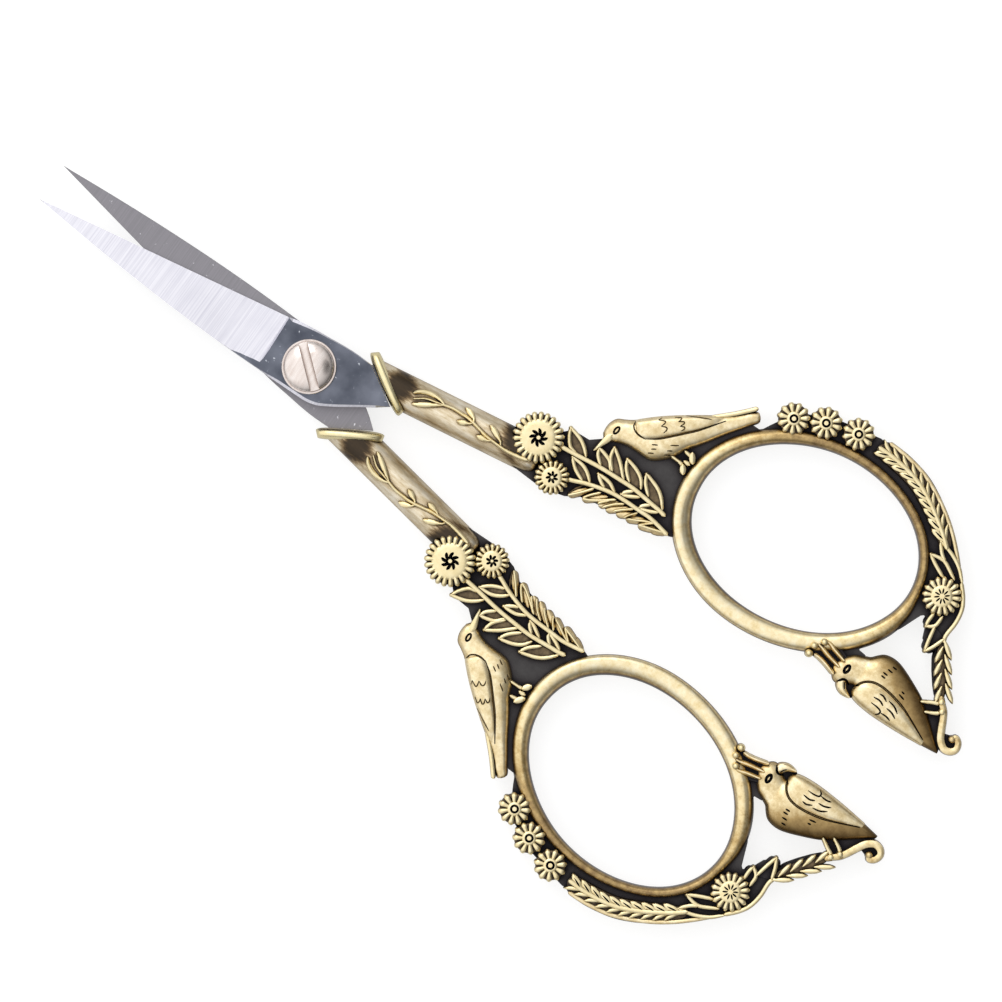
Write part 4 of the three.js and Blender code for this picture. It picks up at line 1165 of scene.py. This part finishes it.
def chipped(tree, place, colour, least, spread, pale):
    """The colour with pale specks where a noise passes its least value, and that noise."""
    speck = add(tree, "ShaderNodeTexNoise", {"Vector": place, "Scale": 1 / SPECK_SIZE, "Detail": 2.0})
    spot = add(tree, "ShaderNodeMapRange", {"Value": speck, "From Min": least, "From Max": least + spread})
    mixed = add(tree, "ShaderNodeMix", {"Factor": spot, "A": colour, "B": linear(pale)}, data_type="RGBA")
    return mixed.outputs["Result"], speck


def ground_steel(name, pale, dark, rough, turn, nicks):
    """Steel with fine lines of the wheel, faint smears where a finger wiped it, and pale nicks."""
    material, tree = new_finish(name)
    place = add(tree, "ShaderNodeTexCoord").outputs["Object"]
    along = add(tree, "ShaderNodeMapping", {
        "Vector": place, "Rotation": (0, 0, turn), "Scale": (1, 0.01, 0.01),
    })
    lines = add(tree, "ShaderNodeTexNoise", {"Vector": along, "Scale": 1 / BRUSH_PITCH, "Detail": 1.0})
    smear = add(tree, "ShaderNodeTexNoise", {"Vector": place, "Scale": 1 / SMEAR_SIZE, "Detail": 3.0})
    both = add(tree, "ShaderNodeMath", {0: smear, 1: SMEAR_SHARE, 2: lines}, operation="MULTIPLY_ADD")
    share = add(tree, "ShaderNodeMapRange", {"Value": both, "From Min": 0.45, "From Max": 0.9})
    colour = add(tree, "ShaderNodeValToRGB", {0: share})
    set_ramp(colour, [(0.0, dark), (1.0, pale)])
    nicked, _ = chipped(tree, place, colour, nicks, 0.05, "#e6e5ec")
    bump = add(tree, "ShaderNodeBump", {"Height": lines, "Strength": 0.12, "Distance": BRUSH_DEPTH})
    shader = add(tree, "ShaderNodeBsdfPrincipled", {
        "Base Color": nicked, "Metallic": 1.0, "Roughness": rough, "Normal": bump,
    })
    add(tree, "ShaderNodeOutputMaterial", {"Surface": shader})
    return material


def blackened_steel():
    """Blue grey scale from the forge, cloudy, with pale specks where it chipped."""
    material, tree = new_finish("carbon_steel_heat_blackened")
    place = add(tree, "ShaderNodeTexCoord").outputs["Object"]
    cloud = add(tree, "ShaderNodeTexNoise", {"Vector": place, "Scale": 1 / SMEAR_SIZE, "Detail": 6.0})
    colour = add(tree, "ShaderNodeValToRGB", {0: cloud})
    set_ramp(colour, [(0.3, "#50545f"), (0.7, "#7d818d")])
    flaked, speck = chipped(tree, place, colour, 0.7, 0.04, "#c9cdd6")
    bump = add(tree, "ShaderNodeBump", {"Height": speck, "Strength": 0.1, "Distance": SCALE_DEPTH})
    shader = add(tree, "ShaderNodeBsdfPrincipled", {
        "Base Color": flaked, "Metallic": 1.0, "Roughness": 0.36, "Normal": bump,
    })
    add(tree, "ShaderNodeOutputMaterial", {"Surface": shader})
    return material


black = blackened_steel()
bevel_steel = {
    half: ground_steel(f"carbon_steel_cross_ground_{half}", "#e2e1e8", "#cdccd6", 0.4, turn, 0.75)
    for half, turn in (("front", -HALF_OPENING), ("rear", HALF_OPENING))
}
flat_steel = ground_steel("carbon_steel_flat_ground", "#939096", "#89878c", 0.42, math.pi / 2, 0.69)
print("steel finishes:", black.name, flat_steel.name)

# %% [markdown]
# The blade starts as a flat blank with the outline of the photograph. Its edges are filed to a chamfer,
# wider along the pivot plate, where it shows as a bright line. The wheel is a second solid that takes off
# everything above the ground face and leaves a strip of black along the spine near the shoulder.

# %% Blades
BLADE_LENGTH = 37.4
BLADE_THICKNESS = 1.8
EDGE_THICKNESS = 0.25
POINT_Y = 0.2
SHOULDER_X = -5.0
HEEL_Y = 3.75
SPINE_Y = -3.38
SPINE_BULGE = 0.83
SCREW_HOLE = 1.76
COLLAR_SEAT = 0.7
RICASSO_WIDTH = 5.4
FILED_EDGE = 0.06
FILED_DROP = 0.11
BROKEN_EDGE = 0.04
BROKEN_DROP = 0.05
FLAT_ENOUGH = 0.97
BLADE_CREASE = 12
THROUGH = 9.0  # more than any height of the scissors, for tools that cut right through
GRIND_DEPTH = 5.65  # from the cutting edge to where the ground face would reach the full thickness

low_face = BLADE_GAP / 2
high_face = low_face + BLADE_THICKNESS
edge_slope = (HEEL_Y - POINT_Y) / (SHOULDER_X + BLADE_LENGTH)
# Edges of the pivot plate: place and width of the chamfer.
plate_low = [
    (-3.6, -3.5, 0.2), (-2.1, -3.55, 0.3), (0.3, -3.65, 0.32), (1.6, -3.68, 0.32),
    (2.6, -3.55, 0.32), (3.5, -3.25, 0.3), (5.2, -2.35, 0.28), (7.6, -0.92, 0.26), (9.2, 0.02, 0.24),
]
plate_top = [
    (5.2, 4.15, 0.1), (4.0, 4.25, 0.1), (2.3, 4.27, 0.12), (0.4, 4.2, 0.14),
    (-1.7, 4.14, 0.22), (-3.5, 4.02, 0.36), (-4.5, 3.86, 0.38),
]


def blade_outline():
    """Points round the blade, each with the width of the chamfer there."""
    seat = COLLAR_AT + to_blade * COLLAR_SEAT
    t = np.linspace(0, 1, 40)[:, None]
    tip = np.array((-BLADE_LENGTH, POINT_Y))
    bulge = np.array((-BLADE_LENGTH / 2, SPINE_Y * SPINE_BULGE))
    spine = (1 - t) ** 2 * tip + 2 * t * (1 - t) * bulge + t**2 * np.array((SHOULDER_X, SPINE_Y))
    corners = [seat + collar_way * RICASSO_WIDTH / 2, seat - collar_way * RICASSO_WIDTH / 2]
    return np.vstack([
        np.column_stack([spine, np.full(40, FILED_EDGE)]), smooth_line(plate_low, 32),
        [(*corner, FILED_EDGE) for corner in corners], smooth_line(plate_top, 24),
        [(SHOULDER_X, HEEL_Y, FILED_EDGE)],
    ])


def blank():
    outline = blade_outline()
    plan = outline[:, :2]
    inward = across_line(plan, closed=True)
    filed = plan + inward * outline[:, 2:]
    rims = (
        (plan + inward * BROKEN_EDGE, low_face), (plan, low_face + BROKEN_DROP),
        (plan, high_face - FILED_DROP), (filed, high_face),
    )
    return skin("blank", [np.column_stack([rim, np.full(len(rim), z)]) for rim, z in rims], black)


def wheel():
    """What grinding takes off, with the round corner that the rim of the wheel leaves at the shoulder."""
    low = low_face + EDGE_THICKNESS
    rings = []
    for x, top, lift in (
        (-BLADE_LENGTH - 2, None, 0), (-16, None, 0), (-9.4, -3.2, 0), (-7, -2.8, 0), (-5.8, -2.62, 0),
        (SHOULDER_X - 0.25, -2.57, 0), (SHOULDER_X - 0.12, -2.56, 0.12), (SHOULDER_X - 0.04, -2.55, 0.45),
        (SHOULDER_X, -2.55, 1.2), (SHOULDER_X + 0.05, -2.55, 4),
    ):
        edge = POINT_Y + edge_slope * (x + BLADE_LENGTH)
        depth = GRIND_DEPTH if top is None else edge - top
        fall = (BLADE_THICKNESS - EDGE_THICKNESS) / depth
        sides = ((6, 0), (-6, 0), (-6, THROUGH), (6, THROUGH))
        rings.append([(x, y, low + fall * (edge - y) + lift + rise) for y, rise in sides])
    return skin("wheel", rings, bevel_steel["front"])


hole = lathe("screw_hole", ((SCREW_HOLE, -THROUGH), (SCREW_HOLE, THROUGH)), 64, black)
ground_blank = bpy.data.objects.new("ground_blank", combine(blank(), [wheel(), hole], "DIFFERENCE"))
blade_mesh = combine(ground_blank, [tang_bar("tang", 0.0, RICASSO_WIDTH / 2)], "UNION")

by_wheel = list(blade_mesh.materials).index(bevel_steel["front"])
finish_of = []
for face in blade_mesh.polygons:
    on_top = face.center.z > high_face - FILED_DROP - 0.01
    if face.material_index == by_wheel or (on_top and abs(face.normal.z) < FLAT_ENOUGH):
        finish_of.append(0)
    else:
        finish_of.append(1 if face.normal.z > FLAT_ENOUGH else 2)
while len(blade_mesh.materials) < 3:
    blade_mesh.materials.append(black)
for face, number in zip(blade_mesh.polygons, finish_of):
    face.material_index = number
for half, place in halves.items():
    mesh = blade_mesh.copy()
    for i, finish in enumerate((bevel_steel[half], black, flat_steel)):
        mesh.materials[i] = finish
    placed_piece(
        f"{half}_steel_blade", mesh, place, f"{half}_blade", f"{half}_half", BLADE_CREASE,
    )
print("blade:", len(blade_mesh.polygons), "faces")

# %% [markdown]
# The pivot is a slotted screw with a domed, nickel-plated head. It is turned on a lathe, so it is a profile
# spun round the axis, with the slot cut across it and its edges softened by polishing. Painted shade darkens
# the slot and the rim.

# %% Pivot screw
HEAD_RADIUS = 3.25
HEAD_HEIGHT = 1.4
HEAD_RIM = 0.45
RIM_STEP = 0.26
SHAFT_RADIUS = 1.7
PEENED_RADIUS = 2.3
SLOT_WIDTH = 1.1
SLOT_DEPTH = 0.75
SLOT_ANGLE = math.radians(-40)
SOFT_EDGE = 0.06
SOFT_ANGLE = math.radians(35)
SCREW_CREASE = 30
SCRATCH_SIZE = 0.0004
SCRATCH_ANGLE = 0.7
SCRATCH_RANGE = (0.3, 0.7)
SLOT_SHADE_REACH = 0.0006


def nickel_plate():
    """Warm silver with fine scratches, and painted shade, brown to black, in the slot and at the rim."""
    material, tree = new_finish("nickel_plated_and_polished")
    place = add(tree, "ShaderNodeTexCoord").outputs["Object"]
    stretched = add(tree, "ShaderNodeMapping", {
        "Vector": place, "Rotation": (0, 0, SCRATCH_ANGLE), "Scale": (1, 0.12, 1),
    })
    scratch = add(tree, "ShaderNodeTexNoise", {
        "Vector": stretched, "Scale": 1 / SCRATCH_SIZE, "Detail": 4.0,
    })
    dull, uneven = (add(tree, "ShaderNodeMapRange", {
        "Value": scratch, "From Min": SCRATCH_RANGE[0], "From Max": SCRATCH_RANGE[1],
        "To Min": low, "To Max": high,
    }) for low, high in ((0.14, 0.3), (0.85, 1.0)))
    # Painted shade: occlusion darkens the slot and the rim.
    around = add(tree, "ShaderNodeAmbientOcclusion", {
        "Distance": SLOT_SHADE_REACH,
    }, samples=AO_SAMPLES, only_local=True)
    unshaded = add(tree, "ShaderNodeMapRange", {
        "Value": around.outputs["AO"], "From Min": 0.3, "From Max": 0.85,
    })
    share = add(tree, "ShaderNodeMath", {0: unshaded, 1: uneven}, operation="MULTIPLY")
    colour = add(tree, "ShaderNodeValToRGB", {0: share})
    set_ramp(colour, [(0.0, "#372e2a"), (0.5, "#9d8b82"), (0.85, "#dccfc8"), (1.0, "#f0e7e2")])
    shader = add(tree, "ShaderNodeBsdfPrincipled", {
        "Base Color": colour, "Metallic": 1.0, "Roughness": dull,
    })
    add(tree, "ShaderNodeOutputMaterial", {"Surface": shader})
    return material


stack = BLADE_THICKNESS + BLADE_GAP / 2 + 0.05
bottom = -MIDDLE / MM
dome_radius = HEAD_RADIUS - RIM_STEP
profile = [
    (0.02, bottom), (PEENED_RADIUS * 0.7, bottom), (PEENED_RADIUS * 0.93, bottom + 0.12),
    (PEENED_RADIUS, bottom + 0.3), (PEENED_RADIUS, -stack), (SHAFT_RADIUS, -stack), (SHAFT_RADIUS, stack),
    (HEAD_RADIUS - 0.05, stack), (HEAD_RADIUS, stack + 0.06), (HEAD_RADIUS, stack + HEAD_RIM - 0.15),
    (HEAD_RADIUS - 0.06, stack + HEAD_RIM - 0.06), (dome_radius, stack + HEAD_RIM - 0.06),
]
for angle in np.linspace(8, 89.5, 18):
    turn_up = math.radians(angle)
    rise = (HEAD_HEIGHT - HEAD_RIM) * math.sin(turn_up)
    profile.append((dome_radius * math.cos(turn_up), stack + HEAD_RIM + rise))
nickel = nickel_plate()
slot_box = turned(np.array([(-1, -1), (1, -1), (1, 1), (-1, 1)]) * (THROUGH, SLOT_WIDTH / 2), SLOT_ANGLE)
slot = prism("slot", slot_box, stack + HEAD_HEIGHT - SLOT_DEPTH, THROUGH, black)
slotted = bpy.data.objects.new("slotted", combine(lathe("screw", profile, 72, nickel), [slot], "DIFFERENCE"))
bpy.context.scene.collection.objects.link(slotted)
edges = slotted.modifiers.new("edges", "BEVEL")
edges.width = SOFT_EDGE
edges.segments = 3
edges.limit_method = "ANGLE"
edges.angle_limit = SOFT_ANGLE
screw_mesh = evaluated(slotted)
screw_mesh.materials.clear()
screw_mesh.materials.append(nickel)
placed_piece(
    "slotted_screw", screw_mesh, lifted @ in_metres, "pivot_screw", "rear_half", SCREW_CREASE,
)
print("screw:", len(screw_mesh.polygons), "faces")

# %% [markdown]
# The photograph was taken in a light tent on white. A big plain floor, a soft sky that is brighter overhead
# than at the horizon, and one large lamp from the upper left give metal the same calm reflections. The
# floor glows a little for the camera and for reflections only, so it looks white and still takes the
# shadow.

# %% Floor and light
FLOOR_HALF = 2.0
PAPER_GLOW = 0.78  # what the camera sees of the glow
PAPER_MIRRORED = 0.34  # what metal mirrors of it
floor_mesh = bpy.data.meshes.new("floor")
corners = [(x * FLOOR_HALF, y * FLOOR_HALF, cad_box[0][2]) for x, y in ((-1, -1), (1, -1), (1, 1), (-1, 1))]
floor_mesh.from_pydata(corners, [], [(0, 1, 2, 3)])
floor = bpy.data.objects.new("floor", floor_mesh)
bpy.context.scene.collection.objects.link(floor)
paper, tree = new_finish("white_paper")
ray = add(tree, "ShaderNodeLightPath").outputs
mirrored = add(tree, "ShaderNodeMath", {0: ray["Is Glossy Ray"], 1: PAPER_MIRRORED}, operation="MULTIPLY")
glow = add(tree, "ShaderNodeMath", {
    0: ray["Is Camera Ray"], 1: PAPER_GLOW, 2: mirrored,
}, operation="MULTIPLY_ADD")
shader = add(tree, "ShaderNodeBsdfPrincipled", {
    "Base Color": linear("#9c9c9c"), "Roughness": 0.9, "Emission Color": linear("#ffffff"),
    "Emission Strength": glow,
})
add(tree, "ShaderNodeOutputMaterial", {"Surface": shader})
floor_mesh.materials.append(paper)

SKY_LOW = 0.17
SKY_HIGH = 1.16
SKY_AXIS = (-0.57, -0.09, 0.8)  # the tent is brightest above, towards the upper left of the picture
SKY_RANGE = (-0.1, 0.75)
DARK_WAY = (0.473, 0.339, 0.813)  # where the dark front of the camera stands
DARK_RANGE = (0.96, 0.985)
DARK_LEFT = 0.2
world = bpy.data.worlds.new("light_tent")
bpy.context.scene.world = world
world.use_nodes = True
tree = world.node_tree
tree.nodes.clear()
way = add(tree, "ShaderNodeTexCoord").outputs["Generated"]
facing = add(tree, "ShaderNodeVectorMath", {0: way, 1: SKY_AXIS}, operation="DOT_PRODUCT")
level = add(tree, "ShaderNodeMapRange", {
    "Value": facing.outputs["Value"], "From Min": SKY_RANGE[0], "From Max": SKY_RANGE[1],
    "To Min": SKY_LOW, "To Max": SKY_HIGH,
})
toward = add(tree, "ShaderNodeVectorMath", {0: way, 1: DARK_WAY}, operation="DOT_PRODUCT")
patch = add(tree, "ShaderNodeMapRange", {
    "Value": toward.outputs["Value"], "From Min": DARK_RANGE[0], "From Max": DARK_RANGE[1],
    "To Min": 1.0, "To Max": DARK_LEFT,
}, interpolation_type="SMOOTHSTEP")
strength = add(tree, "ShaderNodeMath", {0: level, 1: patch}, operation="MULTIPLY")
sky = add(tree, "ShaderNodeBackground", {"Color": linear("#ffffff"), "Strength": strength})
add(tree, "ShaderNodeOutputWorld", {"Surface": sky})

LAMP_AT = (-0.4, 0.32, 0.55)
LAMP_AIM = (0.03, 0, 0)
LAMP_SIZE = 0.5
LAMP_POWER = 0.8
lamp = bpy.data.objects.new("soft_lamp", bpy.data.lights.new("soft_lamp", "AREA"))
bpy.context.scene.collection.objects.link(lamp)
lamp.data.shape = "SQUARE"
lamp.data.size = LAMP_SIZE
lamp.data.energy = LAMP_POWER
lamp.location = LAMP_AT
lamp.rotation_euler = (Vector(LAMP_AIM) - lamp.location).to_track_quat("-Z", "Y").to_euler()
bpy.context.scene.view_settings.view_transform = "Standard"
print("light ready")
